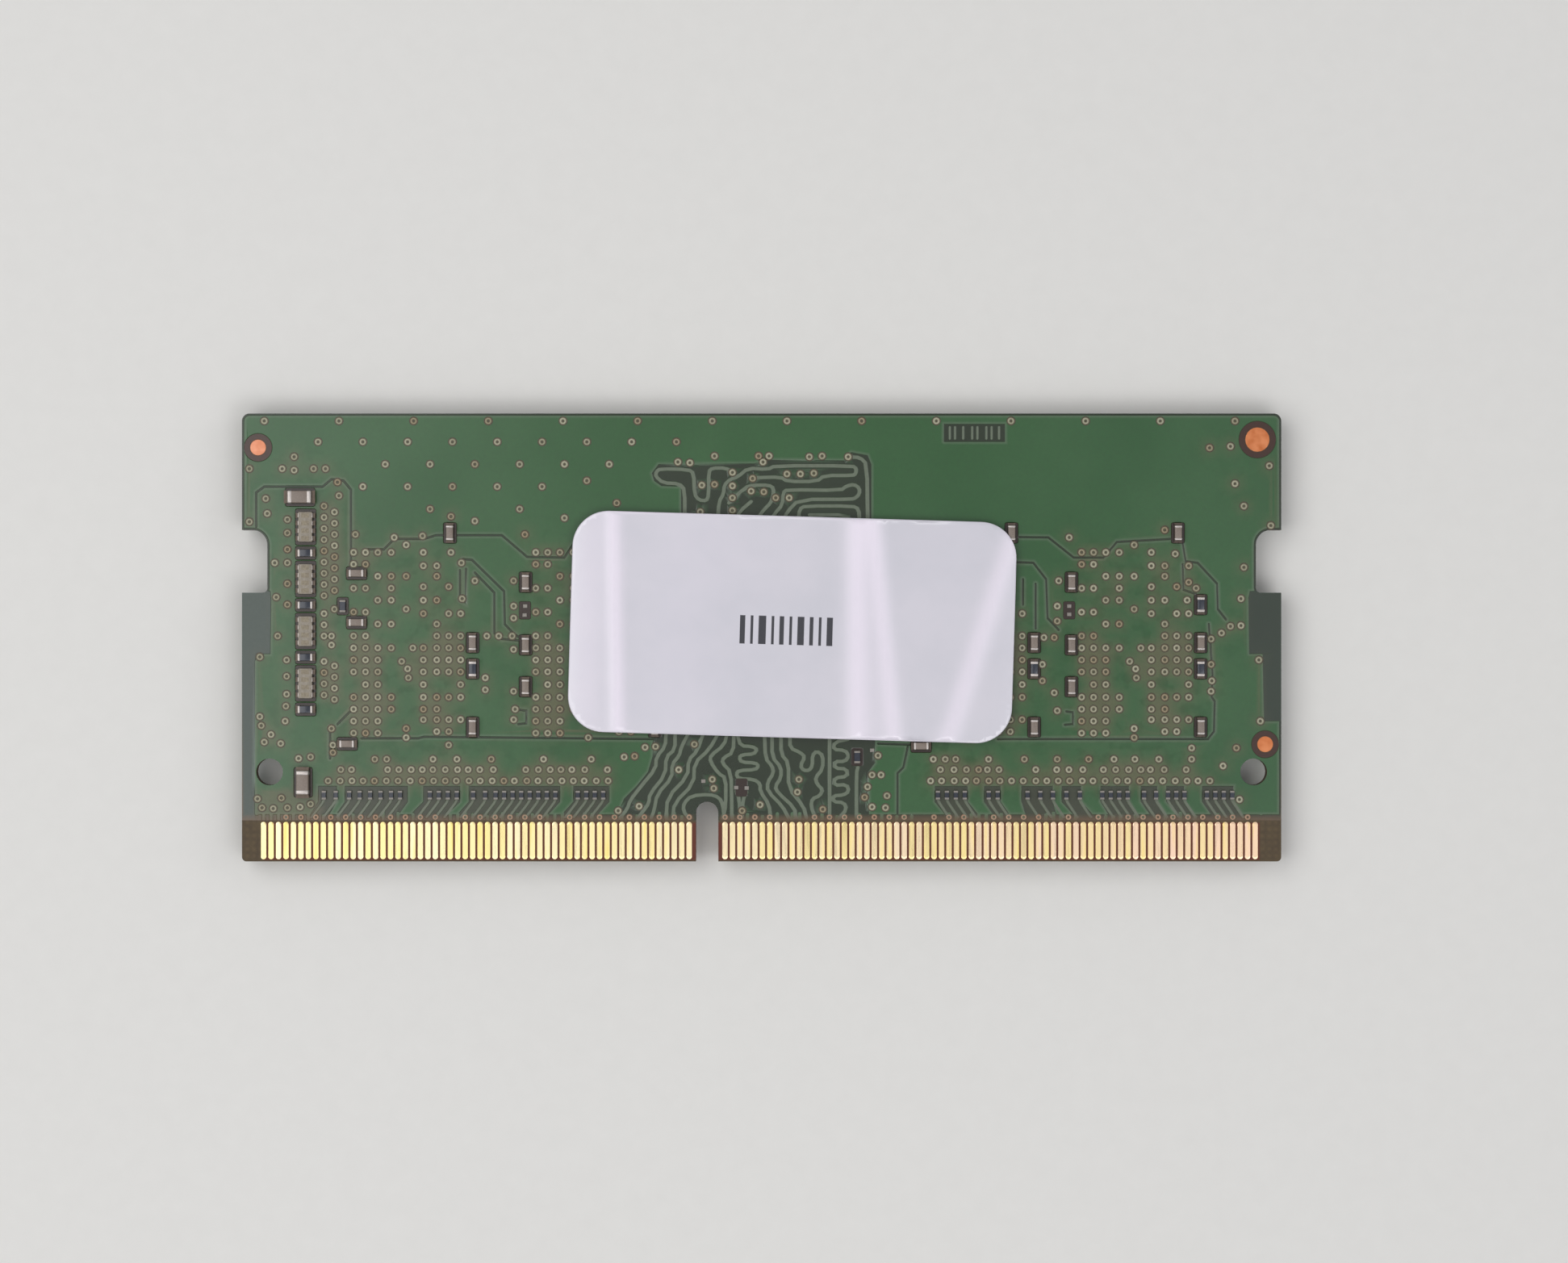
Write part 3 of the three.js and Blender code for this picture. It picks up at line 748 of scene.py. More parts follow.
MIDDLE_HOLES = [
    (12.1, 21.8), (10.2, 21.7), (18.95, 21.9), (14.0, 23.1), (14.0, 20.7), (14.7, 20.0),
    (14.75, 17.6), (15.6, 18.8), (18.2, 18.8), (18.2, 17.1), (18.2, 16.3), (17.2, 15.1),
    (18.1, 15.1), (18.2, 14.2), (18.2, 11.4), (18.3, 10.2), (18.2, 9.5), (23.3, 8.3),
    (16.3, 12.3), (16.3, 11.5), (16.4, 15.1), (13.85, 7.8),
]
# A package's holes, as offsets from its middle: one string per row, from the top row down
LEFT_FIELD_COLUMNS = (-3.62, -2.82, -2.0, -1.1)
LEFT_FIELD = [
    (5.1, "xxxx"), (4.3, "xx.."), (3.5, "..xx"), (2.7, "xx.x"), (1.9, "..xx"), (1.1, "xx.."),
    (0.3, "..xx"), (-0.5, "xx.."), (-1.3, "xxxx"), (-2.1, "xxx."), (-2.9, "xxx."),
    (-3.75, ".xx."), (-4.6, "xxxx"), (-5.4, "xxxx"), (-6.2, "xxx."), (-7.0, "xxx."),
]
RIGHT_FIELD_COLUMNS = (1.05, 1.95, 2.75, 3.55)
RIGHT_FIELD = [
    (5.1, "x..."), (4.2, "xx.."), (3.5, ".x.."), (2.8, "x.x."), (1.9, "xx.."), (1.0, "x.xx"),
    (0.3, ".x.."), (-0.5, ".xxx"), (-1.3, "xxxx"), (-2.1, "xxxx"), (-2.9, "xxxx"),
    (-3.75, "x..x"), (-4.6, "xxxx"), (-5.4, "xx.."), (-6.1, "xxxx"), (-6.9, ".xx."),
]
CENTRE_FIELD = [
    (-0.1, 5.6), (-0.1, 3.5), (-0.1, 1.3), (-0.4, -2.2), (0.0, -2.7), (0.05, -3.3),
    (0.35, -1.3), (-0.1, -6.7), (-0.1, -7.3), (1.3, -2.9),
]
PACKAGES = [centre_place(f"memory_mould_{k}") for k in (1, 2, 3, 4)]


def lattice_holes():
    """The sparse holes of the ground area above the packages."""
    places = [(1.5 + 5.0 * k, 29.5) for k in range(14)]
    places += [(5.1 + 3.0 * k, 28.1) for k in range(9)]
    places += [(9.6 + 3.0 * k, 26.6) for k in range(6)]
    places += [(8.1 + 3.0 * k, 25.1) for k in range(5)]
    return places + [(23.1, 25.5), (12.6, 23.6), (15.6, 22.8), (18.6, 23.6), (21.6, 23.0),
                     (25.1, 24.0)]


def array_side_holes():
    """Two columns of holes to the right of the resistor arrays."""
    pitch = 0.75
    places = [(5.5, 23.8 - pitch * k) for k in range(9)]
    places += [(6.2, 23.4 - pitch * k) for k in range(8)]
    places += [(5.5, 16.6 - pitch * k) for k in range(3)] + [(6.0, 15.1), (6.0, 14.5)]
    places += [(5.5, 13.4 - pitch * k) for k in range(4)]
    return places + [(6.2, 13.1 - pitch * k) for k in range(4)]


def package_holes():
    places = []
    for u, v in PACKAGES:
        for columns, rows in ((LEFT_FIELD_COLUMNS, LEFT_FIELD), (RIGHT_FIELD_COLUMNS, RIGHT_FIELD)):
            for rise, marks in rows:
                places += [(u + c, v + rise) for c, mark in zip(columns, marks) if mark == "x"]
        places += [(u + du, v + dv) for du, dv in CENTRE_FIELD]
    return places


def contact_side_holes(chance):
    """Rows of holes just above the contacts, the upper row with some left out."""
    places = []
    for first, last in ((5.8, 25.0), (46.1, 65.6)):
        count = int((last - first) / 0.78)
        for k in range(count + 1):
            u = first + 0.78 * k
            places.append((u + chance.uniform(-0.05, 0.05), 5.4))
            if chance.random() < 0.78:
                places.append((u + chance.uniform(-0.12, 0.12), 6.15))
    for u in (8.9, 9.7, 12.8, 14.4, 16.7, 20.2, 23.4, 46.3, 47.1, 47.8, 50.0, 52.4, 54.6, 56.7,
              58.4, 59.8, 61.4, 63.6):
        places.append((u, 6.85))
    return places


def clear_of_parts(places, parts, margin):
    """The places that are not under or against one of the parts."""
    kept = []
    for u, v in places:
        if all(
            u < low[0] - margin or u > high[0] + margin or v < low[1] - margin
            or v > high[1] + margin
            for low, high in parts
        ):
            kept.append((u, v))
    return kept


def spaced(places, least):
    """The places, without those too close to an earlier one."""
    kept = []
    for place in places:
        if all(math.dist(place, other) >= least for other in kept):
            kept.append(place)
    return kept


def footprint(node):
    low, high = box_mm(node)
    return board_place(low.x, low.y), board_place(high.x, high.y)


# ---------------------------------------------------------------- which CAD nodes are chips

CAPACITOR_NODES = sorted(
    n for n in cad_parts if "_cap" in n and not n.startswith("array_")
)
THIN_NODES = sorted(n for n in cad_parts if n.endswith("_resistor"))
ARRAY_NODES = [f"resistor_array_{k}" for k in (1, 2, 3, 4)]
ARRAY_CAPACITOR_NODES = [f"array_capacitor_{k}" for k in (1, 2, 3, 4)]
CHIP_NODES = CAPACITOR_NODES + THIN_NODES + ARRAY_NODES + ARRAY_CAPACITOR_NODES

# Small series resistors above the contacts: first, last and count of each group
SERIES_GROUPS = [
    (5.5, 6.3, 2), (7.2, 9.3, 4), (10.0, 10.6, 2), (12.6, 14.4, 4), (15.5, 16.3, 2),
    (17.0, 21.0, 8), (22.5, 24.2, 4), (46.6, 48.4, 4), (50.0, 50.6, 2), (52.6, 54.3, 3),
    (55.2, 56.1, 2), (57.6, 59.3, 4), (60.4, 61.2, 2), (62.0, 63.1, 3), (64.6, 66.3, 4),
]
SERIES_RISE = 4.45
SERIES_LENGTH = 0.6
SERIES_WIDTH = 0.3
SERIES_HEIGHT = 0.23
# Places left open for a part: middles, one part along v each
FREE_PLACES = [(18.95, 16.82), (55.4, 16.82), (33.45, 4.95)]
# Parts smaller than the CAD model's chips, standing along v
SMALL_CHIPS = [(6.75, 17.1), (41.2, 7.0)]
LANDS = [
    (18.97, 17.1), (18.93, 16.5), (55.4, 17.1), (55.4, 16.55), (33.1, 4.95), (33.8, 4.92),
    (30.9, 5.38), (42.2, 7.45),
]


def series_places():
    places = []
    for first, last, count in SERIES_GROUPS:
        step = (last - first) / (count - 1)
        places += [(first + step * k, SERIES_RISE) for k in range(count)]
    return places


def fan_traces():
    """A short trace from each series resistor, leaning outwards down to the contacts."""
    lines = []
    for u, v in series_places():
        lean = -0.85 if u < KEY_CENTRE else 0.75
        lines.append([(u, v - 0.3), (u + lean * 0.15, v - 0.55), (u + lean, 2.95)])
    return lines


CONTACT_PITCH = 0.5
CONTACT_WIDTH = 0.37
CONTACT_TO_KEY = 0.45


def contact_places(side):
    """Where the contacts of one side of the key are along u, outwards from the key."""
    nearest = KEY_CENTRE + side * (KEY_WIDTH / 2 + CONTACT_TO_KEY)
    count = 58 if side < 0 else 72
    return [nearest + side * CONTACT_PITCH * k for k in range(count)]


def contact_stubs(chance):
    """Short traces that rise from most of the contacts."""
    lines = []
    for side in (-1, 1):
        for u in contact_places(side):
            if chance.random() < 0.7:
                lines.append([(u, 2.76), (u, 3.0 + chance.uniform(0.0, 0.25))])
    return lines


# ---------------------------------------------------------------- relief sheets


def triangulate(rings, loose):
    """Triangles between the rings' edges and the loose points, in board places."""
    points, edges = [], []
    for ring in rings:
        first = len(points)
        points += [Vector(p) for p in ring]
        edges += [(first + k, first + (k + 1) % len(ring)) for k in range(len(ring))]
    points += [Vector(p) for p in loose]
    made = geometry.delaunay_2d_cdt(points, edges, [], 0, 1e-5)
    return np.array([tuple(p) for p in made[0]]), np.array(made[2])


def loose_grid(ring, spacing, chance):
    """Points about one spacing apart, all over the ring's box, a little out of line."""
    ring = np.asarray(ring, float)
    low, high = ring.min(0), ring.max(0)
    places = []
    for u in np.arange(low[0] + spacing / 2, high[0], spacing):
        for v in np.arange(low[1] + spacing / 2, high[1], spacing):
            shift = spacing * 0.15
            places.append((u + chance.uniform(-shift, shift), v + chance.uniform(-shift, shift)))
    places = np.array(places)
    return places[inside(places, ring)]


def build_sheet(name, outline, openings, rings, loose, top, bottom, shares, finish):
    """A closed sheet. Its plan is the outline less the openings, cut along the rings; top and
    bottom give its two faces' heights, and shares the attributes that its finish reads."""
    places, triangles = triangulate([outline, *openings, *rings], loose)
    middles = places[triangles].mean(axis=1)
    kept = inside(middles, outline)
    for opening in openings:
        kept &= ~inside(middles, opening)
    triangles = triangles[kept]
    used = np.unique(triangles)
    places = places[used]
    triangles = np.searchsorted(used, triangles)
    a, b, c = (places[triangles[:, k]] for k in range(3))
    turn = (b[:, 0] - a[:, 0]) * (c[:, 1] - a[:, 1]) - (b[:, 1] - a[:, 1]) * (c[:, 0] - a[:, 0])
    triangles[turn < 0] = triangles[turn < 0][:, ::-1]
    count = len(places)
    points = np.vstack(
        [frame_points(places, top(places)), frame_points(places, bottom(places))]
    )
    sides = {}
    for a, b, c in triangles.tolist():
        for edge in ((a, b), (b, c), (c, a)):
            sides[edge] = True
    rims = [edge for edge in sides if (edge[1], edge[0]) not in sides]
    faces = triangles.tolist() + (triangles[:, ::-1] + count).tolist()
    faces += [(b, a, a + count, b + count) for a, b in rims]
    mesh = bpy.data.meshes.new(name)
    mesh.from_pydata(points.tolist(), [], faces)
    for share, measure in shares.items():
        layer = mesh.attributes.new(share, "FLOAT", "POINT")
        values = measure(places)
        layer.data.foreach_set("value", np.concatenate([values, values]).astype(np.float32))
    mesh.materials.append(finish)
    mesh.update()
    return link_object(name, mesh)


def ramp(distance):
    """0 outside, 1 inside, across one shoulder."""
    share = np.clip(distance / SHOULDER + 0.5, 0, 1)
    return share * share * (3 - 2 * share)


def rim(ring):
    """The outline of the shoulder along a closed ring, on both sides of it."""
    return [stroke([*ring, ring[0]], SHOULDER)]


def bands(lines, width):
    """The two outlines of each line's shoulder."""
    rings = []
    for line in lines:
        rings += [stroke(line, width + SHOULDER), stroke(line, width - SHOULDER)]
    return rings


LAMINATE_RISE = 0.014
OPENING_RISE = 0.004
# How far in from the copper's edges the pale band reaches and how pale it is: thin film there, and a
# painted highlight of the shoulder.
EDGE_REACH = 0.2
EDGE_PALENESS_AND_HIGHLIGHT = 0.5
ROOT_TOP = 3.2
ROOT_FADE = 0.35
ROOT_STRENGTH = 0.85
MASK_RISE = MASK_TOP - BOARD_TOP
# How far the mask's openings reach past each part; the dark bare laminate there is partly painted
# shadow round the chips.
PAD_MARGIN = 0.2
PAD_ROUNDING = 0.12
HOLE_PAD_RADIUS = 0.27
HOLE_LAND_RADIUS = HOLE_RADIUS + 0.28
STUB_WIDTH = 0.24
TICK_WIDTH = 0.14
# Half the width and half the length of the opening for a part smaller than the CAD chips
SMALL_OPENING = (0.2, 0.4)
# A hole keeps this far from every part, and a crowded one this far from the next
PART_MARGIN = 0.18
CROWDED_SPACING = 0.5
# Brown where holes crowd: how far each counts, how many it takes, and the most it gives
CROWD_REACH = 0.5
CROWD_START = 0.75
CROWD_SPAN = 2.1
CROWD_MOST = 0.68
# Brown close round each hole, and the share of it all that shows over laminate
HALO_REACH = 0.4
HALO_STRENGTH = 0.34
LAMINATE_WARMTH = 0.35
# Blotches in the copper's green: how far each hole counts, and how many it takes
BLOTCH_REACH = 1.0
BLOTCH_FULL = 5

CHANCE = random.Random(260)
PART_PRINTS = [footprint(node) for node in CHIP_NODES]
CROWDED_HOLES = package_holes() + array_side_holes() + contact_side_holes(CHANCE)
CROWDED_HOLES += LEFT_END_HOLES + RIGHT_END_HOLES + MIDDLE_HOLES
CROWDED_HOLES = spaced(
    clear_of_parts(CROWDED_HOLES, PART_PRINTS, PART_MARGIN), CROWDED_SPACING
)
WINDOW_HOLES = UPPER_WINDOW_HOLES + LOWER_WINDOW_HOLES
TRACES = [eased(line) for line in UPPER_TRACES + LOWER_TRACES]
FANS = fan_traces()
STUBS = contact_stubs(CHANCE)
# Plain ticks in the dark strip near the upper edge
TICKS = [[(u, 28.3), (u, 29.1)] for u in (47.4, 47.75, 48.3, 48.9, 49.25, 49.85, 50.2, 50.7)]
THIN_LINES = [(TRACES, TRACE_WIDTH), (FANS, FAN_WIDTH), (TICKS, TICK_WIDTH)]
LINES = [
    (TRACES, TRACE_WIDTH), (STUBS, STUB_WIDTH), (RAILS, RAIL_WIDTH), (FANS, FAN_WIDTH),
    (TICKS, TICK_WIDTH),
]
POUR_RING = board_ring(POUR_LOW, POUR_INSET)


def dot_wells(steps):
    """The mask's round openings about the alignment dots."""
    return [circle(centre_place(node), width / 2, steps) for node, width in DOTS]


def pad_openings():
    """The mask's openings over the parts' lands and round the alignment dots."""
    half_u, half_v = SMALL_OPENING
    prints = PART_PRINTS + [
        ((u - half_u, v - half_v), (u + half_u, v + half_v)) for u, v in FREE_PLACES + SMALL_CHIPS
    ]
    rings = []
    for low, high in prints:
        grown_low = (low[0] - PAD_MARGIN, low[1] - PAD_MARGIN)
        grown_high = (high[0] + PAD_MARGIN, high[1] + PAD_MARGIN)
        rings.append(rounded_rectangle(grown_low, grown_high, PAD_ROUNDING, 2))
    return rings + dot_wells(32)


OPENED = pad_openings()


def on_lines(places, lines_and_widths):
    """How far each place is inside the line that it is deepest in."""
    depth = np.full(len(places), -1e9)
    for lines, width in lines_and_widths:
        for line in lines:
            depth = np.maximum(depth, width / 2 - edge_distance(places, line, False))
    return depth


def on_discs(places, middles, radius):
    """How far each place is inside the disc that it is deepest in."""
    depth = np.full(len(places), -1e9)
    for u, v in middles:
        depth = np.maximum(depth, radius - np.hypot(places[:, 0] - u, places[:, 1] - v))
    return depth


def metal_depth(places):
    """How far each place is inside the copper under the mask."""
    pour = depth_inside(places, POUR_RING)
    for window in WINDOWS:
        pour = np.minimum(pour, -depth_inside(places, window))
    pour = np.minimum(pour, -on_lines(places, [(GAPS, GAP_WIDTH)]))
    metal = np.maximum(pour, on_lines(places, LINES))
    metal = np.maximum(metal, on_discs(places, WINDOW_HOLES, HOLE_PAD_RADIUS))
    return np.maximum(metal, on_discs(places, HOLES, HOLE_LAND_RADIUS))


def strongest(places, patches):
    """The strongest of some patches at each place. A patch is a ring and its strength."""
    share = np.zeros(len(places))
    for ring, strength in patches:
        share = np.maximum(share, strength * ramp(depth_inside(places, ring)))
    return share


def bells(places, holes, reach):
    """For one hole after another, a bell over the places that is 1 at its middle."""
    for u, v in holes:
        gap = (places[:, 0] - u) ** 2 + (places[:, 1] - v) ** 2
        yield np.exp(-gap / (2 * reach * reach))


def copper_share(places):
    return ramp(metal_depth(places))


def bare_share(places):
    return strongest(places, [(ring, 1.0) for ring in OPENED])


def thin_edge_and_highlight_share(places):
    """Paler along the copper's edges, where the mask is thin and where a painted highlight of the
    shoulder lies.
    """
    depth = metal_depth(places)
    return EDGE_PALENESS_AND_HIGHLIGHT * np.clip(1 - depth / EDGE_REACH, 0, 1) * (depth > 0)


def warmth_share(places):
    """How brown the mask is: where holes crowd, close round a hole and in the stained patches."""
    crowd = sum(bells(places, CROWDED_HOLES, CROWD_REACH))
    halo = np.zeros(len(places))
    for bell in bells(places, CROWDED_HOLES, HALO_REACH):
        halo = np.maximum(halo, bell)
    crowded = np.clip((crowd - CROWD_START) / CROWD_SPAN, 0, CROWD_MOST)
    share = np.maximum(crowded, HALO_STRENGTH * halo)
    share *= LAMINATE_WARMTH + (1 - LAMINATE_WARMTH) * copper_share(places)
    for patch, stain in STAINED_PATCHES:
        fade = np.clip(depth_inside(places, patch) / STAIN_FADE + 0.5, 0, 1)
        share = np.maximum(share, stain * fade)
    return share


def crowd_share(places):
    return np.clip(sum(bells(places, CROWDED_HOLES, BLOTCH_REACH)) / BLOTCH_FULL, 0, 1)


def root_share(places):
    """Browner close to the contacts, but not at the key notch."""
    from_key = np.abs(places[:, 0] - KEY_CENTRE)
    near = np.clip((ROOT_TOP - places[:, 1]) / ROOT_FADE, 0, 1)
    return ROOT_STRENGTH * near * (from_key > KEY_WIDTH / 2 + 0.1)


def mask_height(places):
    """Height of the mask's upper face."""
    bare = bare_share(places)
    rise = LAMINATE_RISE + (MASK_RISE - LAMINATE_RISE) * copper_share(places)
    return BOARD_TOP + np.where(bare > 0, rise * (1 - bare) + OPENING_RISE, rise)


# The attributes that the mask's finish reads
MASK_SHARES = {
    "copper": copper_share,
    "bare": bare_share,
    "warmth": warmth_share,
    "pale": lambda places: strongest(places, PALE_PATCHES),
    "crowd": crowd_share,
    "thin": lambda places: ramp(on_lines(places, THIN_LINES)),
    "root": root_share,
    "edge": thin_edge_and_highlight_share,
    "well": lambda places: strongest(places, [(ring, 1.0) for ring in dot_wells(16)]),
}


def mask_rings():
    """The lines that the mask's triangles follow, on both sides of every shoulder."""
    rings = [circle(place, HOLE_LAND_RADIUS, 28) for place in HOLES]
    rings += [circle(place, HOLE_PAD_RADIUS, 10) for place in WINDOW_HOLES]
    for ring in OPENED:
        rings += rim(ring)
    for lines, width in LINES:
        rings += bands(lines, width)
    rings += bands(GAPS, GAP_WIDTH)
    rings += [stroke(line, GAP_WIDTH + 2 * EDGE_REACH) for line in GAPS]
    for step in (-SHOULDER / 2, SHOULDER / 2, EDGE_REACH):
        rings.append(board_ring(POUR_LOW + step, POUR_INSET + step))
    for window in WINDOWS:
        rings += rim(window)
        rings.append(stroke([*window, window[0]], 2 * EDGE_REACH))
    return rings


def upper_mask(chance):
    """The upper solder mask: raised over the copper, low over bare laminate, open at the pads."""
    outline = board_ring(MASK_EDGE)
    openings = [circle(place, HOLE_RADIUS, 28) for place in HOLES]
    openings += [circle(centre_place(node), dot_radius(node) + DOT_GAP, 32) for node, _ in DOTS]
    sheet = build_sheet(
        "solder_mask_upper_relief", outline, openings, mask_rings(),
        loose_grid(outline, 0.42, chance), mask_height,
        lambda places: np.full(len(places), BOARD_TOP), MASK_SHARES, SOLDER_MASK,
    )
    keep_piece(sheet, ["solder_mask_upper"])


upper_mask(CHANCE)


# ---------------------------------------------------------------- repeated shapes by node trees

STORE = "GeometryNodeStoreNamedAttribute"


def new_tree(name, sizes):
    """A geometry tree with named size inputs. Gives the tree and its input's outputs."""
    tree = bpy.data.node_groups.new(name, "GeometryNodeTree")
    tree.interface.new_socket("Geometry", in_out="OUTPUT", socket_type="NodeSocketGeometry")
    tree.interface.new_socket("Geometry", in_out="INPUT", socket_type="NodeSocketGeometry")
    for size, value in sizes.items():
        kind = "NodeSocketInt" if isinstance(value, int) else "NodeSocketFloat"
        tree.interface.new_socket(size, in_out="INPUT", socket_type=kind)
    return tree, add(tree, "NodeGroupInput").node.outputs


def repeated(tree, places, shape, seed=None):
    """The shape at every place, as real meshes. With a seed, each has its own tone from 0 to 1."""
    copies = add(tree, "GeometryNodeInstanceOnPoints", {"Points": places, "Instance": shape})
    if seed is not None:
        tone = add(tree, "FunctionNodeRandomValue", {"Seed": seed}, out="Value", data_type="FLOAT")
        toned = {"Geometry": copies, "Name": "tone", "Value": tone}
        copies = add(tree, STORE, toned, data_type="FLOAT", domain="INSTANCE")
    return add(tree, "GeometryNodeRealizeInstances", {"Geometry": copies})


def end_tree(tree, shape, finish):
    """Gives a tree's real meshes their finish, and ends the tree."""
    painted = add(tree, "GeometryNodeSetMaterial", {"Geometry": shape, "Material": finish})
    add(tree, "NodeGroupOutput", (painted,))
    return tree


def run_tree(name, tree, sizes, places):
    """Runs a tree on a cloud of points and keeps the plain mesh."""
    cloud = bpy.data.meshes.new(name + "_places")
    cloud.from_pydata([tuple(p) for p in places], [], [])
    obj = link_object(name, cloud)
    modifier = obj.modifiers.new("repeat", "NODES")
    modifier.node_group = tree
    for item in tree.interface.items_tree:
        if item.in_out == "INPUT" and item.name in sizes:
            modifier[item.identifier] = sizes[item.name]
    depsgraph = bpy.context.evaluated_depsgraph_get()
    made = bpy.data.meshes.new_from_object(
        obj.evaluated_get(depsgraph), preserve_all_data_layers=True, depsgraph=depsgraph
    )
    obj.modifiers.remove(modifier)
    obj.data = made
    made.name = name
    return obj


def scatter(name, tree, sizes, places, height, replaced=()):
    """Runs a tree at board places, all at one height, and keeps the piece."""
    keep_piece(run_tree(name, tree, sizes, frame_points(places, height)), replaced)


def scaled(tree, size, share):
    return add(tree, "ShaderNodeMath", (size, share), operation="MULTIPLY")


def chamfered(tree, size, chamfer, place=(0.0, 0.0, 0.0)):
    """A block with chamfered edges: the hull of three crossed blocks."""
    cut = scaled(tree, chamfer, 2.0)
    short = [add(tree, "ShaderNodeMath", (full, cut), operation="SUBTRACT") for full in size]
    blocks = []
    for way in range(3):
        sides = tuple(size[k] if k == way else short[k] for k in range(3))
        crossed = add(tree, "ShaderNodeCombineXYZ", sides)
        blocks.append(add(tree, "GeometryNodeMeshCube", {"Size": crossed}))
    hull = add(tree, "GeometryNodeConvexHull", (add(tree, "GeometryNodeJoinGeometry", (blocks,)),))
    return add(tree, "GeometryNodeTransform", {"Geometry": hull, "Translation": place})


def marked(tree, shapes, name):
    """Joins shapes, each with its value of an attribute for the finish to read."""
    parts = []
    for shape, value in shapes:
        mark = {"Geometry": shape, "Name": name, "Value": value}
        parts.append(add(tree, STORE, mark, data_type="FLOAT", domain="POINT"))
    return add(tree, "GeometryNodeJoinGeometry", (parts,))


RING_SIZES = {
    "Ring radius": 0.165 * MM, "Rim radius": 0.095 * MM, "Hollow radius": 0.08 * MM,
    "Gap radius": 0.31 * MM, "Rosy": 0.0,
}
RING_FLATNESS = 0.42
CORE_DEPTH = 0.012
GAP_DEPTH = 0.006


def ring_tree():
    """A tented hole: a low rounded ring with a dark hollow core, on a thin dark disc that is the gap
    round it and painted shadow.
    """
    tree, sizes = new_tree("tented_hole", RING_SIZES)
    curves = []
    for steps, radius in ((12, "Ring radius"), (4, "Rim radius")):
        curve = {"Resolution": steps, "Radius": sizes[radius]}
        curves.append(add(tree, "GeometryNodeCurvePrimitiveCircle", curve))
    torus = add(
        tree, "GeometryNodeCurveToMesh", {"Curve": curves[0], "Profile Curve": curves[1]}
    )
    flat = {"Geometry": torus, "Scale": (1.0, 1.0, RING_FLATNESS)}
    discs = []
    for steps, radius, depth in ((10, "Hollow radius", CORE_DEPTH), (12, "Gap radius", GAP_DEPTH)):
        disc = {"Vertices": steps, "Radius": sizes[radius], "Depth": depth * MM}
        discs.append(add(tree, "GeometryNodeMeshCylinder", disc))
    ring = marked(tree, [(add(tree, "GeometryNodeTransform", flat), 0.0), (discs[0], 1.0)], "hollow")
    # The dark disc round the ring is partly painted shadow of the raised ring.
    gap = marked(tree, [(discs[1], 1.0)], "surround")
    whole = add(tree, "GeometryNodeJoinGeometry", ([ring, gap],))
    whole = marked(tree, [(whole, sizes["Rosy"])], "rosy")
    return end_tree(tree, repeated(tree, sizes["Geometry"], whole, seed=7), TENTED_RING)


RINGS = ring_tree()
RING_RISE = 0.004
OPEN_SPACING = 0.44
# How far a hole may lie inside the label's box, whose corners the label leaves free
LABEL_OVERLAP = 0.9
OPEN_HOLES = lattice_holes() + WINDOW_HOLES + CROWDED_HOLES
OPEN_HOLES = spaced(clear_of_parts(OPEN_HOLES, PART_PRINTS, PART_MARGIN), OPEN_SPACING)
OPEN_HOLES = clear_of_parts(OPEN_HOLES, [footprint("label_sheet")], -LABEL_OVERLAP)
scatter("tented_holes", RINGS, RING_SIZES, OPEN_HOLES, MASK_TOP + RING_RISE)

ROOT_SIZES = {
    "Ring radius": 0.135 * MM, "Rim radius": 0.085 * MM, "Hollow radius": 0.055 * MM,
    "Gap radius": 0.24 * MM, "Rosy": 0.7,
}
ROOT_PLACE = 2.97
ROOT_RISE = 0.02
ROOT_CHANCE = 0.88
ROOT_HOLES = []
for side in (-1, 1):
    for u in contact_places(side)[::2]:
        if CHANCE.random() < ROOT_CHANCE:
            ROOT_HOLES.append((u, ROOT_PLACE))
scatter(
    "contact_root_holes", RINGS, ROOT_SIZES, ROOT_HOLES, BOARD_TOP + ROOT_RISE
)


FINGER_SIZES = {
    "Count": 2, "Pitch": 1.0, "Width": CONTACT_WIDTH * MM, "Length": 2.5 * MM,
    "Thickness": 0.04 * MM, "Start": 0.0, "Edge": 0.0,
}
FINGER_WALL = 0.6
FINGER_CROWN = 0.9


def finger_shape(tree, sizes):
    """A flat finger with round ends: its foot at height 0 and a small chamfer round its top."""
    plan = add(
        tree, "GeometryNodeCurvePrimitiveQuadrilateral",
        {"Width": sizes["Width"], "Height": sizes["Length"]}, mode="RECTANGLE",
    )
    round_ends = {"Curve": plan, "Radius": scaled(tree, sizes["Width"], 0.5), "Count": 4}
    round_ends["Limit Radius"] = True
    soft = add(tree, "GeometryNodeFilletCurve", round_ends, mode="POLY")
    face = add(tree, "GeometryNodeFillCurve", {"Curve": soft}, mode="NGONS")
    up = add(tree, "ShaderNodeCombineXYZ", (0.0, 0.0, 1.0))
    wall = {"Mesh": face, "Offset": up}
    wall["Offset Scale"] = scaled(tree, sizes["Thickness"], FINGER_WALL)
    raised = add(tree, "GeometryNodeExtrudeMesh", wall)
    cap = {"Mesh": raised, "Selection": raised.node.outputs["Top"], "Offset": up}
    cap["Offset Scale"] = scaled(tree, sizes["Thickness"], 1 - FINGER_WALL)
    crowned = add(tree, "GeometryNodeExtrudeMesh", cap)
    crown = {"Geometry": crowned, "Selection": crowned.node.outputs["Top"], "Scale": FINGER_CROWN}
    drawn_in = add(tree, "GeometryNodeScaleElements", crown)
    under = add(tree, "GeometryNodeFlipFaces", {"Mesh": face})
    whole = add(tree, "GeometryNodeJoinGeometry", ([drawn_in, under],))
    return add(
        tree, "GeometryNodeMergeByDistance", {"Geometry": whole, "Distance": 0.001 * MM}
    )


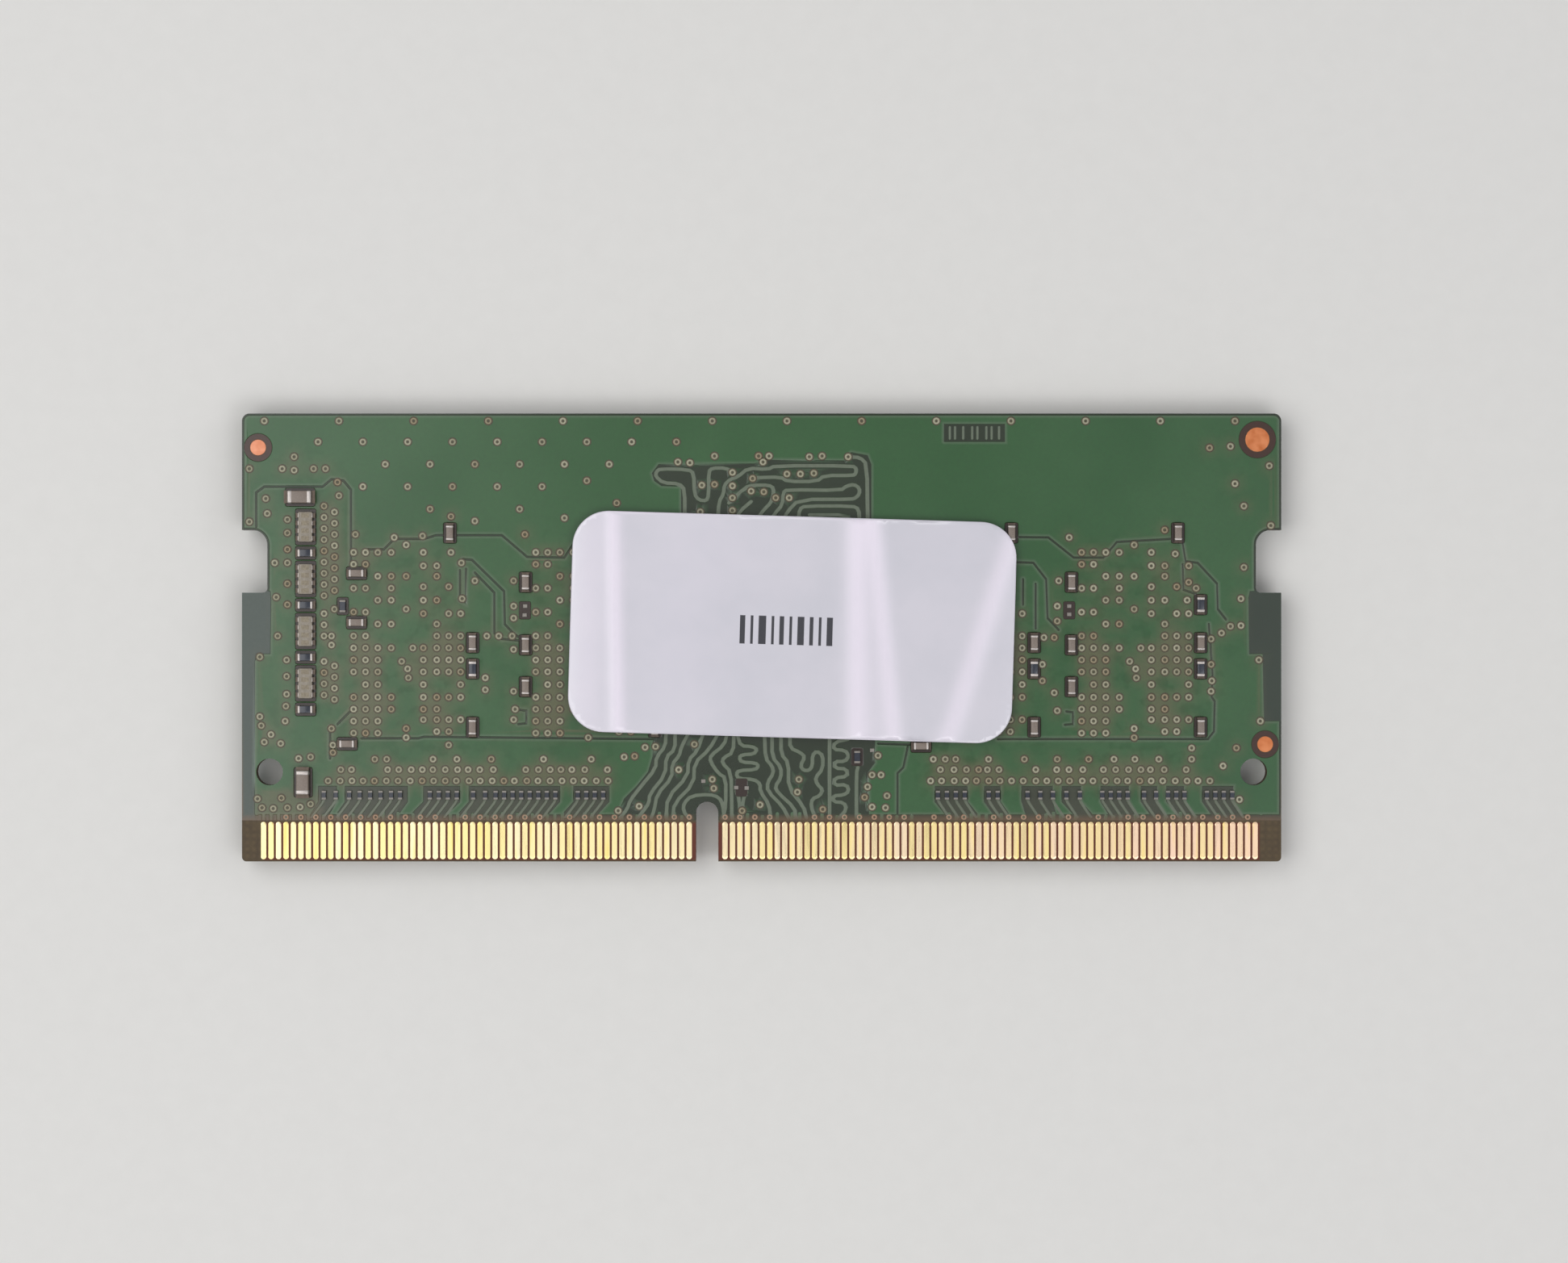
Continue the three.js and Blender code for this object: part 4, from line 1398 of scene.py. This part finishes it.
def finger_tree(facing):
    """A row of contact fingers, each turned about the row's own direction to face that way."""
    tree, sizes = new_tree("contact_row", FINGER_SIZES)
    start = add(tree, "ShaderNodeCombineXYZ", (sizes["Start"], sizes["Edge"], 0.0))
    step = add(tree, "ShaderNodeCombineXYZ", (sizes["Pitch"], 0.0, 0.0))
    line = add(
        tree, "GeometryNodeMeshLine",
        {"Count": sizes["Count"], "Start Location": start, "Offset": step},
    )
    finger = {"Geometry": finger_shape(tree, sizes), "Rotation": (facing, 0.0, 0.0)}
    turned = add(tree, "GeometryNodeTransform", finger)
    return end_tree(tree, repeated(tree, line, turned, seed=3), GOLD)


def contact_rows():
    """All four rows of fingers, where the CAD model has them."""
    for face, facing in (("upper", 0.0), ("lower", math.pi)):
        tree = finger_tree(facing)
        for side, word in ((-1, "left"), (1, "right")):
            node = f"contacts_{face}_{word}"
            low, high = box_mm(node)
            places = contact_places(side)
            sizes = dict(FINGER_SIZES)
            sizes["Count"] = len(places)
            sizes["Pitch"] = side * CONTACT_PITCH * MM
            sizes["Length"] = (high.y - low.y) * MM
            sizes["Start"] = (places[0] + BOARD_LOW.x) * MM
            sizes["Edge"] = (low.y + high.y) / 2 * MM
            row = run_tree(f"fingers_{face}_{word}", tree, sizes, [(0, 0, 0)])
            level = low.z if face == "upper" else high.z
            row.data.transform(Matrix.Translation((0, 0, level * MM)))
            keep_piece(row, [node])


contact_rows()


def chip_sizes(length, width, height, end_length, chamfer):
    """A small chip's sizes, as the inputs of its tree."""
    names = ("Length", "Width", "Height", "End length", "Chamfer")
    values = (length, width, height, end_length, chamfer)
    return {name: value * MM for name, value in zip(names, values)}


SERIES_SIZES = chip_sizes(SERIES_LENGTH, SERIES_WIDTH, SERIES_HEIGHT, 0.15, 0.02)


def series_tree(body_finish, cap_finish):
    """A tiny chip standing along Y: a body a little slimmer than its two end caps."""
    tree, sizes = new_tree("series_resistor", SERIES_SIZES)
    slimmed = (("Width", 0.94), ("Length", 0.96), ("Height", 0.95))
    body_size = [scaled(tree, sizes[name], share) for name, share in slimmed]
    body = chamfered(tree, body_size, sizes["Chamfer"])
    ends = (sizes["Length"], sizes["End length"])
    apart = add(tree, "ShaderNodeMath", ends, operation="SUBTRACT")
    cap_size = [sizes[name] for name in ("Width", "End length", "Height")]
    caps = []
    for half in (-0.5, 0.5):
        place = add(tree, "ShaderNodeCombineXYZ", (0.0, scaled(tree, apart, half), 0.0))
        caps.append(chamfered(tree, cap_size, sizes["Chamfer"], place))
    caps = add(tree, "GeometryNodeJoinGeometry", (caps,))
    chips = repeated(tree, sizes["Geometry"], marked(tree, [(body, 0.0), (caps, 1.0)], "cap"))
    dark = add(tree, "GeometryNodeSetMaterial", {"Geometry": chips, "Material": body_finish})
    share = add(
        tree, "GeometryNodeInputNamedAttribute", {"Name": "cap"}, out="Attribute",
        data_type="FLOAT",
    )
    is_cap = add(tree, "ShaderNodeMath", (share, 0.5), operation="GREATER_THAN")
    tinned = {"Geometry": dark, "Selection": is_cap, "Material": cap_finish}
    add(tree, "NodeGroupOutput", (add(tree, "GeometryNodeSetMaterial", tinned),))
    return tree


GLAZED_CHIP = series_tree(RESISTOR, LEVELLED_TIN)
scatter(
    "series_resistors", GLAZED_CHIP, SERIES_SIZES, series_places(),
    MASK_TOP + SERIES_HEIGHT / 2 + 0.005,
)
SMALL_HEIGHT = 0.28
SMALL_LIFT = 0.03
scatter(
    "small_chips", GLAZED_CHIP, chip_sizes(0.85, 0.42, SMALL_HEIGHT, 0.17, 0.03), SMALL_CHIPS,
    BOARD_TOP + SMALL_LIFT + SMALL_HEIGHT / 2,
)

LAND_SIZES = {"Side": 0.3 * MM, "Thickness": 0.05 * MM}
LAND_RISE = 0.04


def land_tree():
    """A bare land under a thin cushion of tin, left without a part."""
    tree, sizes = new_tree("solder_land", LAND_SIZES)
    size = (sizes["Side"], scaled(tree, sizes["Side"], 0.85), sizes["Thickness"])
    land = chamfered(tree, size, scaled(tree, sizes["Thickness"], 0.4))
    return end_tree(tree, repeated(tree, sizes["Geometry"], land), LEVELLED_TIN)


scatter("solder_lands", land_tree(), LAND_SIZES, LANDS, BOARD_TOP + LAND_RISE)


# ---------------------------------------------------------------- chips


def block(bm, low, high, radius, segments, index):
    """Adds a block with rounded edges and gives its faces a material index."""
    made = bmesh.ops.create_cube(bm, size=1.0)["verts"]
    size = [high[k] - low[k] for k in range(3)]
    for vertex in made:
        vertex.co = Vector([low[k] + (vertex.co[k] + 0.5) * size[k] for k in range(3)])
    edges = {edge for vertex in made for edge in vertex.link_edges}
    before = set(bm.faces) - {face for vertex in made for face in vertex.link_faces}
    bmesh.ops.bevel(
        bm, geom=list(edges), offset=radius, segments=segments, profile=0.5, affect="EDGES"
    )
    for face in set(bm.faces) - before:
        face.material_index = index
        face.smooth = segments > 1


# A solder fillet's steps up its hollow face, its depth below a cap's foot, and how much wider it
# gets outwards
FILLET_STEPS = 5
FILLET_BASE = 0.034
FILLET_SPREAD = 0.1
# How far up its cap a fillet climbs, and a fillet's index among a part's finishes
FILLET_CLIMB = 0.62
SOLDER_INDEX = 2


def fillet(bm, foot, way, width, reach, rise):
    """Adds a hollow-faced solder fillet that climbs an end cap. The foot is the cap's lower edge
    and way its outward direction."""
    quarter = math.pi / 2
    across = Vector((-way.y, way.x, 0))
    profile = []
    for k in range(FILLET_STEPS + 1):
        t = k / FILLET_STEPS
        inward = reach * (1 - math.cos((1 - t) * quarter))
        profile.append((reach - inward, rise * (1 - math.cos(t * quarter))))
    profile += [(0.0, rise), (0.0, -FILLET_BASE), (reach, -FILLET_BASE)]
    rows = []
    for side in (-1, 1):
        row = []
        for x, z in profile:
            half = width / 2 * (1 + FILLET_SPREAD * (x / reach))
            row.append(bm.verts.new(foot + way * x + across * side * half + Vector((0, 0, z))))
        rows.append(row)
    count = len(rows[0])
    faces = [bm.faces.new(rows[0]), bm.faces.new(list(reversed(rows[1])))]
    for k in range(count):
        m = (k + 1) % count
        faces.append(bm.faces.new((rows[0][m], rows[0][k], rows[1][k], rows[1][m])))
    for face in faces:
        face.material_index = SOLDER_INDEX


# How far the end caps stand proud of a chip's body, and how far the body is off the board
CAP_PROUD = 0.02
BODY_LIFT = 0.012
# A chip's fillets: outwards reach of a small and of a long chip's, where the long ones start,
# how far the feet are inside the caps, and their width as a share of the cap's
SMALL_REACH = 0.17
LONG_REACH = 0.26
LONG_CHIP = 1.3
FOOT_INSET = 0.015
FOOT_SHARE = 0.94


def chip(node, body_finish, cap_length, rounding):
    """A two-ended chip in a CAD chip's box: body, end caps and solder fillets."""
    low, high = box_mm(node)
    along = 0 if high.x - low.x > high.y - low.y else 1
    length = high[along] - low[along]
    middle = (low + high) / 2
    bm = bmesh.new()
    body_low = low + Vector((CAP_PROUD, CAP_PROUD, BODY_LIFT))
    body_high = high - Vector((CAP_PROUD, CAP_PROUD, CAP_PROUD))
    block(bm, body_low, body_high, rounding, 2, 0)
    for side in (-1, 1):
        cap_low = low.copy()
        cap_high = high.copy()
        if side < 0:
            cap_high[along] = low[along] + cap_length
        else:
            cap_low[along] = high[along] - cap_length
        block(bm, cap_low, cap_high, rounding * 1.5, 3, 1)
        way = Vector((0, 0, 0))
        way[along] = side
        foot = Vector((middle.x, middle.y, low.z))
        foot[along] = middle[along] + side * (length / 2 - FOOT_INSET)
        width = (high - low)[1 - along] * FOOT_SHARE
        reach = SMALL_REACH if length < LONG_CHIP else LONG_REACH
        fillet(bm, foot, way, width, reach, (high.z - low.z) * FILLET_CLIMB)
    keep_piece(finished(bm, node + "_chip", (body_finish, TIN, SOLDER)), [node])


for node in CAPACITOR_NODES:
    large = "bulk" in node
    chip(node, CAPACITOR, 0.32 if large else 0.17, 0.06 if large else 0.04)
for node in THIN_NODES:
    chip(node, RESISTOR, 0.18, 0.025)
for node in ARRAY_CAPACITOR_NODES:
    chip(node, RESISTOR, 0.16, 0.03)


ARRAY_CELLS = 4
# An array's foot: share of a cell's pitch, depth from the side, and how far below the block's top
FOOT_OF_PITCH = 0.62
FOOT_DEPTH = 0.13
FOOT_DROP = 0.02
ARRAY_REACH = 0.16
ARRAY_CLIMB = 0.6
# The print on top: how far in from the sides, how deep it starts and how far it stands up
PRINT_INSET = 0.24
PRINT_DEPTH = 0.03
PRINT_RISE = 0.004


def resistor_array(node):
    """A four-cell resistor array: one glazed block with four tinned feet along each long side."""
    low, high = box_mm(node)
    bm = bmesh.new()
    block(bm, low + Vector((0.03, 0.02, 0.03)), high - Vector((0.03, 0.02, 0.0)), 0.06, 3, 0)
    pitch = (high.y - low.y) / ARRAY_CELLS
    foot = pitch * FOOT_OF_PITCH
    for cell in range(ARRAY_CELLS):
        middle = low.y + pitch * (cell + 0.5)
        print_low = Vector((low.x + PRINT_INSET, middle - foot / 2, high.z - PRINT_DEPTH))
        print_high = Vector((high.x - PRINT_INSET, middle + foot / 2, high.z + PRINT_RISE))
        block(bm, print_low, print_high, 0.01, 1, 3)
        for side in (-1, 1):
            edge = low.x if side < 0 else high.x
            inner = edge - side * FOOT_DEPTH
            cap_low = Vector((min(edge, inner), middle - foot / 2, low.z))
            cap_high = Vector((max(edge, inner), middle + foot / 2, high.z - FOOT_DROP))
            block(bm, cap_low, cap_high, 0.03, 2, 1)
            way = Vector((side, 0, 0))
            place = Vector((edge - side * 0.01, middle, low.z))
            climb = (high.z - low.z) * ARRAY_CLIMB
            fillet(bm, place, way, foot * 0.95, ARRAY_REACH, climb)
    array = finished(bm, node + "_block", (ARRAY, TIN, SOLDER, ARRAY_PRINT))
    keep_piece(array, [node])


for node in ARRAY_NODES:
    resistor_array(node)


# ---------------------------------------------------------------- label

LABEL_LOW = box_mm("label_sheet")[0]
LABEL_SIZE = (29.7, 14.8)
LABEL_RADIUS = 2.4
LABEL_TURN = math.radians(-1.7)
LABEL_THICKNESS = 0.1
LABEL_BEVEL = 0.06
LABEL_MIDDLE = centre_place("label_sheet")


def on_label(places):
    """Label places, from its middle along its own edges, as board places."""
    places = np.asarray(places, float).reshape(-1, 2)
    cos, sin = math.cos(LABEL_TURN), math.sin(LABEL_TURN)
    turned = places @ np.array([[cos, sin], [-sin, cos]])
    return turned + np.array(LABEL_MIDDLE)


def off_label(places):
    """Board places as label places."""
    cos, sin = math.cos(LABEL_TURN), math.sin(LABEL_TURN)
    return (places - np.array(LABEL_MIDDLE)) @ np.array([[cos, -sin], [sin, cos]])


# Soft ridges across the label: place along it, lean towards its upper edge, width, height, and
# the strength of the highlight painted along it
LABEL_RIDGES = [
    (-11.8, -0.05, 0.35, 0.04, 0.6),
    (-13.6, 0.0, 1.0, 0.02, 0.3),
    (4.3, -0.03, 0.5, 0.05, 0.55),
    (5.2, -0.08, 0.8, 0.02, 0.2),
    (6.1, -0.13, 0.4, 0.04, 0.5),
    (12.7, 0.29, 0.5, 0.05, 0.5),
    (-7.5, 0.1, 2.2, 0.02, 0.12),
]


def ridge(own, along, lean, width):
    """One ridge's share of its height at label places."""
    gap = own[:, 0] - along - lean * own[:, 1]
    return np.exp(-gap * gap / (2 * width * width))


def crease(places):
    """How strong the highlight painted along the ridges is, from 0 to 1."""
    own = off_label(places)
    share = np.zeros(len(places))
    for along, lean, width, _, highlight_strength in LABEL_RIDGES:
        share += highlight_strength * ridge(own, along, lean, width)
    return np.clip(share, 0, 1)


def label_under(places):
    """Height of the label's glued face: flat on the chips, with soft ridges between them."""
    own = off_label(places)
    rise = np.full(len(places), LABEL_LOW.z + 0.03)
    for along, lean, width, height, _ in LABEL_RIDGES:
        rise += height * ridge(own, along, lean, width)
    half = np.array(LABEL_SIZE) / 2
    to_edge = np.minimum(half[0] - np.abs(own[:, 0]), half[1] - np.abs(own[:, 1]))
    rise -= 0.035 * np.exp(-np.clip(to_edge, 0, None) / 0.7)
    return np.maximum(rise, LABEL_LOW.z)


# The printed bars, in label places: first left edge, foot, head, widths and the gap between two
BARS_LEFT = -3.5
BARS_LOW = -1.2
BARS_HIGH = 0.7
BAR_WIDTHS = (0.35, 0.18, 0.5, 0.18, 0.3, 0.18, 0.45, 0.25, 0.18, 0.4)
BAR_GAP = 0.36
INK_EDGE = 0.012


def label_sheet(chance):
    """The label, draped over the chips, with a generic block of printed bars."""
    half = (LABEL_SIZE[0] / 2, LABEL_SIZE[1] / 2)
    plan = rounded_rectangle((-half[0], -half[1]), half, LABEL_RADIUS, 14)
    outline = on_label(plan).tolist()
    bars = []
    left = BARS_LEFT
    for width in BAR_WIDTHS:
        bars.append(((left, BARS_LOW), (left + width, BARS_HIGH)))
        left += width + BAR_GAP
    rings = []
    for low, high in bars:
        for grow in (INK_EDGE, -INK_EDGE):
            ring = rectangle((low[0] - grow, low[1] - grow), (high[0] + grow, high[1] + grow))
            rings.append(on_label(ring).tolist())
    shrunk = (half[0] - LABEL_BEVEL, half[1] - LABEL_BEVEL)
    inner = rounded_rectangle(
        (-shrunk[0], -shrunk[1]), shrunk, LABEL_RADIUS - LABEL_BEVEL, 14
    )
    rings.append(on_label(inner).tolist())

    def ink(places):
        own = off_label(places)
        share = np.zeros(len(places))
        for low, high in bars:
            inner_u = np.minimum(own[:, 0] - low[0], high[0] - own[:, 0])
            inner_v = np.minimum(own[:, 1] - low[1], high[1] - own[:, 1])
            share = np.maximum(share, (np.minimum(inner_u, inner_v) > 0).astype(float))
        return share

    def top(places):
        own = off_label(places)
        inward = np.clip(edge_distance(own, plan) / LABEL_BEVEL, 0, 1)
        return label_under(places) + LABEL_THICKNESS * (0.6 + 0.4 * inward)

    loose = loose_grid(outline, 0.35, chance)
    sheet = build_sheet(
        "label_film", outline, [], rings, loose, top, label_under,
        {"ink": ink, "crease": crease}, LABEL,
    )
    for face in sheet.data.polygons:
        face.use_smooth = True
    keep_piece(sheet, ["label_sheet"])


label_sheet(CHANCE)


# ---------------------------------------------------------------- underside


def lower_mask(chance):
    """The lower solder mask, seen from below: copper pour with a few windows."""
    outline = board_ring(MASK_EDGE)
    openings = [circle(place, HOLE_RADIUS, 28) for place in HOLES]
    pour_ring = board_ring(POUR_LOW, POUR_INSET)
    window = [(27.6, 8.0), (28.4, 3.0), (36.5, 3.0), (41.8, 8.0), (41.8, 13.0), (27.6, 13.0)]
    lines = [[(28.8 + 0.5 * k, 2.9), (28.8 + 0.5 * k, 4.0), (28.4 + 0.9 * k, 8.0),
              (28.4 + 0.9 * k, 12.6)] for k in range(14) if k not in (4, 5)]

    def copper(places):
        metal = depth_inside(places, pour_ring)
        metal = np.minimum(metal, -depth_inside(places, window))
        for line in lines:
            metal = np.maximum(metal, TRACE_WIDTH / 2 - edge_distance(places, line, False))
        return ramp(metal)

    def low(places):
        return BOARD_BOTTOM - LAMINATE_RISE - (MASK_RISE - LAMINATE_RISE) * copper(places)

    rings = bands(lines, TRACE_WIDTH) + [window]
    rings += [board_ring(POUR_LOW - s, POUR_INSET - s) for s in (-SHOULDER / 2, SHOULDER / 2)]
    shares = dict.fromkeys(MASK_SHARES, lambda places: np.zeros(len(places)))
    shares["copper"] = copper
    sheet = build_sheet(
        "solder_mask_lower_relief", outline, openings, rings, loose_grid(outline, 0.9, chance),
        lambda places: np.full(len(places), BOARD_BOTTOM), low, shares, SOLDER_MASK,
    )
    keep_piece(sheet, ["solder_mask_lower"])


lower_mask(CHANCE)

BALL_PITCH = 0.8
BALL_ROWS = 16
BALL_COLUMNS = (-3.2, -2.4, -1.6, 1.6, 2.4, 3.2)
BALL_SIZES = {"Ball radius": 0.21 * MM, "Squash": 0.62}


def ball_tree():
    """A solder ball, pressed to a drum between the package and the board."""
    tree, sizes = new_tree("solder_ball", BALL_SIZES)
    ball = add(
        tree, "GeometryNodeMeshUVSphere",
        {"Segments": 10, "Rings": 6, "Radius": sizes["Ball radius"]},
    )
    squash = add(tree, "ShaderNodeCombineXYZ", (1.0, 1.0, sizes["Squash"]))
    pressed = add(tree, "GeometryNodeTransform", {"Geometry": ball, "Scale": squash})
    return end_tree(tree, repeated(tree, sizes["Geometry"], pressed), SOLDER)


def memory_package(k, balls):
    """One memory package: moulded body with a pin-one dimple, and its balls."""
    low, high = box_mm(f"memory_mould_{k}")
    bm = bmesh.new()
    block(bm, low, high, 0.05, 2, 0)
    body = finished(bm, f"memory_body_{k}", (MOULD,))
    dimple(body, Vector((low.x + 0.9, high.y - 0.9, low.z)))
    keep_piece(body, [f"memory_mould_{k}"])
    u, v = PACKAGES[k - 1]
    rows = [v + (row - (BALL_ROWS - 1) / 2) * BALL_PITCH for row in range(BALL_ROWS)]
    ball_low, ball_high = box_mm(f"memory_balls_{k}")
    places = [(u + column, row) for column in BALL_COLUMNS for row in rows]
    level = (ball_low.z + ball_high.z) / 2
    scatter(f"solder_balls_{k}", balls, BALL_SIZES, places, level, [f"memory_balls_{k}"])


def dimple(body, place):
    """Cuts a shallow round pin-one mark into a package's outer face."""
    bm = bmesh.new()
    bmesh.ops.create_cone(
        bm, cap_ends=True, segments=28, radius1=0.4 * MM, radius2=0.34 * MM, depth=0.16 * MM,
        matrix=Matrix.Translation(place * MM),
    )
    mesh = bpy.data.meshes.new("dimple_cutter")
    bm.to_mesh(mesh)
    bm.free()
    cutter = link_object("dimple_cutter", mesh)
    cut = body.modifiers.new("dimple", "BOOLEAN")
    cut.operation = "DIFFERENCE"
    cut.solver = "EXACT"
    cut.object = cutter
    depsgraph = bpy.context.evaluated_depsgraph_get()
    made = bpy.data.meshes.new_from_object(body.evaluated_get(depsgraph), depsgraph=depsgraph)
    body.modifiers.remove(cut)
    body.data = made
    bpy.data.objects.remove(cutter)


BALLS = ball_tree()
for number in (1, 2, 3, 4):
    memory_package(number, BALLS)


UNDERSIDE_HEIGHT = 0.5
UNDERSIDE_SIZES = chip_sizes(1.0, 0.5, UNDERSIDE_HEIGHT, 0.24, 0.035)
PACKAGE_HALF_LENGTH = 6.75
UNDERSIDE_ROW_GAP = 1.1


def underside_places():
    """Capacitors in a row beyond each end of every package, and beside the description memory."""
    places = []
    for u, v in PACKAGES:
        for column in (-3.0, -1.0, 1.0, 3.0):
            for side in (-1, 1):
                places.append((u + column, v + side * (PACKAGE_HALF_LENGTH + UNDERSIDE_ROW_GAP)))
    u, v = centre_place("config_memory")
    return places + [(u + du, v + dv) for du in (-0.8, 0.8) for dv in (-2.6, 2.6)]


scatter(
    "underside_capacitors", series_tree(CAPACITOR, TIN), UNDERSIDE_SIZES, underside_places(),
    BOARD_BOTTOM - MASK_RISE - UNDERSIDE_HEIGHT / 2 - 0.01,
)


def config_memory():
    """The module's own description memory: a small flat moulded body with tinned pads."""
    low, high = box_mm("config_memory")
    bm = bmesh.new()
    block(bm, low, high - Vector((0, 0, 0.03)), 0.04, 2, 0)
    pitch = 0.5
    for side in (-1, 1):
        for k in range(4):
            middle = (low.y + high.y) / 2 + pitch * (k - 1.5)
            edge = low.x if side < 0 else high.x
            inner = edge - side * 0.35
            pad_low = Vector((min(inner, edge), middle - 0.12, high.z - 0.12))
            pad_high = Vector((max(inner, edge), middle + 0.12, high.z))
            block(bm, pad_low, pad_high, 0.02, 1, 1)
    body = finished(bm, "description_memory", (MOULD, TIN))
    keep_piece(body, ["config_memory"])


config_memory()


# ---------------------------------------------------------------- finishes of kept CAD nodes


def give_finish(node, finish):
    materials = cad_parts[node].data.materials
    materials.clear()
    materials.append(finish)


give_finish("board_core", LAMINATE)
for node, _ in DOTS:
    give_finish(node, COPPER)
for number in (1, 2, 3, 4):
    give_finish(f"memory_substrate_{number}", PACKAGE_LAMINATE)


# ---------------------------------------------------------------- floor, light and camera


def make_floor():
    """A plain pale floor under the module."""
    bm = bmesh.new()
    bmesh.ops.create_grid(bm, x_segments=8, y_segments=8, size=0.6)
    mesh = bpy.data.meshes.new("studio_floor")
    bm.to_mesh(mesh)
    bm.free()
    mesh.materials.append(FLOOR_PAINT)
    link_object("studio_floor", mesh)


def soft_light(name, place, aim, size, power, colour="#ffffff"):
    """A square soft light, in metres and watts."""
    lamp = bpy.data.lights.new(name, "AREA")
    lamp.shape = "RECTANGLE"
    lamp.size, lamp.size_y = size
    lamp.energy = power
    lamp.color = linear(colour)[:3]
    obj = link_object(name, lamp)
    obj.location = place
    way = Vector(aim) - Vector(place)
    obj.rotation_euler = way.to_track_quat("-Z", "Y").to_euler()
    return obj


def make_lights():
    """A large soft box above on the left, a smaller one low at the front, and a dim pale room."""
    soft_light("overhead", (-0.285, 0.06, 0.45), (-0.285, 0.06, 0), (0.44, 0.60), 1.6)
    soft_light("overhead_right", (0.17, -0.12, 0.45), (0.17, -0.12, 0), (0.22, 0.40), 0.175, "#f2f4ff")
    soft_light("front", (0.16, -0.20, 0.42), (0.1, -0.06, 0), (0.40, 0.22), 0.46)
    soft_light("right", (0.42, 0.10, 0.30), (0, 0, 0), (0.25, 0.25), 0.22)
    world = bpy.data.worlds.new("pale_room")
    bpy.context.scene.world = world
    world.use_nodes = True
    background = world.node_tree.nodes["Background"]
    background.inputs["Color"].default_value = linear("#e4e4e8")
    background.inputs["Strength"].default_value = 0.45


FIELD_WIDTH = 105.0
SENSOR_WIDTH = 36.0
LENS = 110.0


def make_camera():
    """A camera straight above the module, a little right of its middle."""
    data = bpy.data.cameras.new("overhead_camera")
    data.sensor_width = SENSOR_WIDTH
    data.lens = LENS
    data.clip_start = 0.01
    camera = link_object("overhead_camera", data)
    height = FIELD_WIDTH * LENS / SENSOR_WIDTH + MASK_TOP
    camera.location = Vector((1.5, 0.4, height)) * MM
    bpy.context.scene.camera = camera


make_floor()
make_lights()
make_camera()
bpy.context.scene.view_settings.view_transform = "Standard"
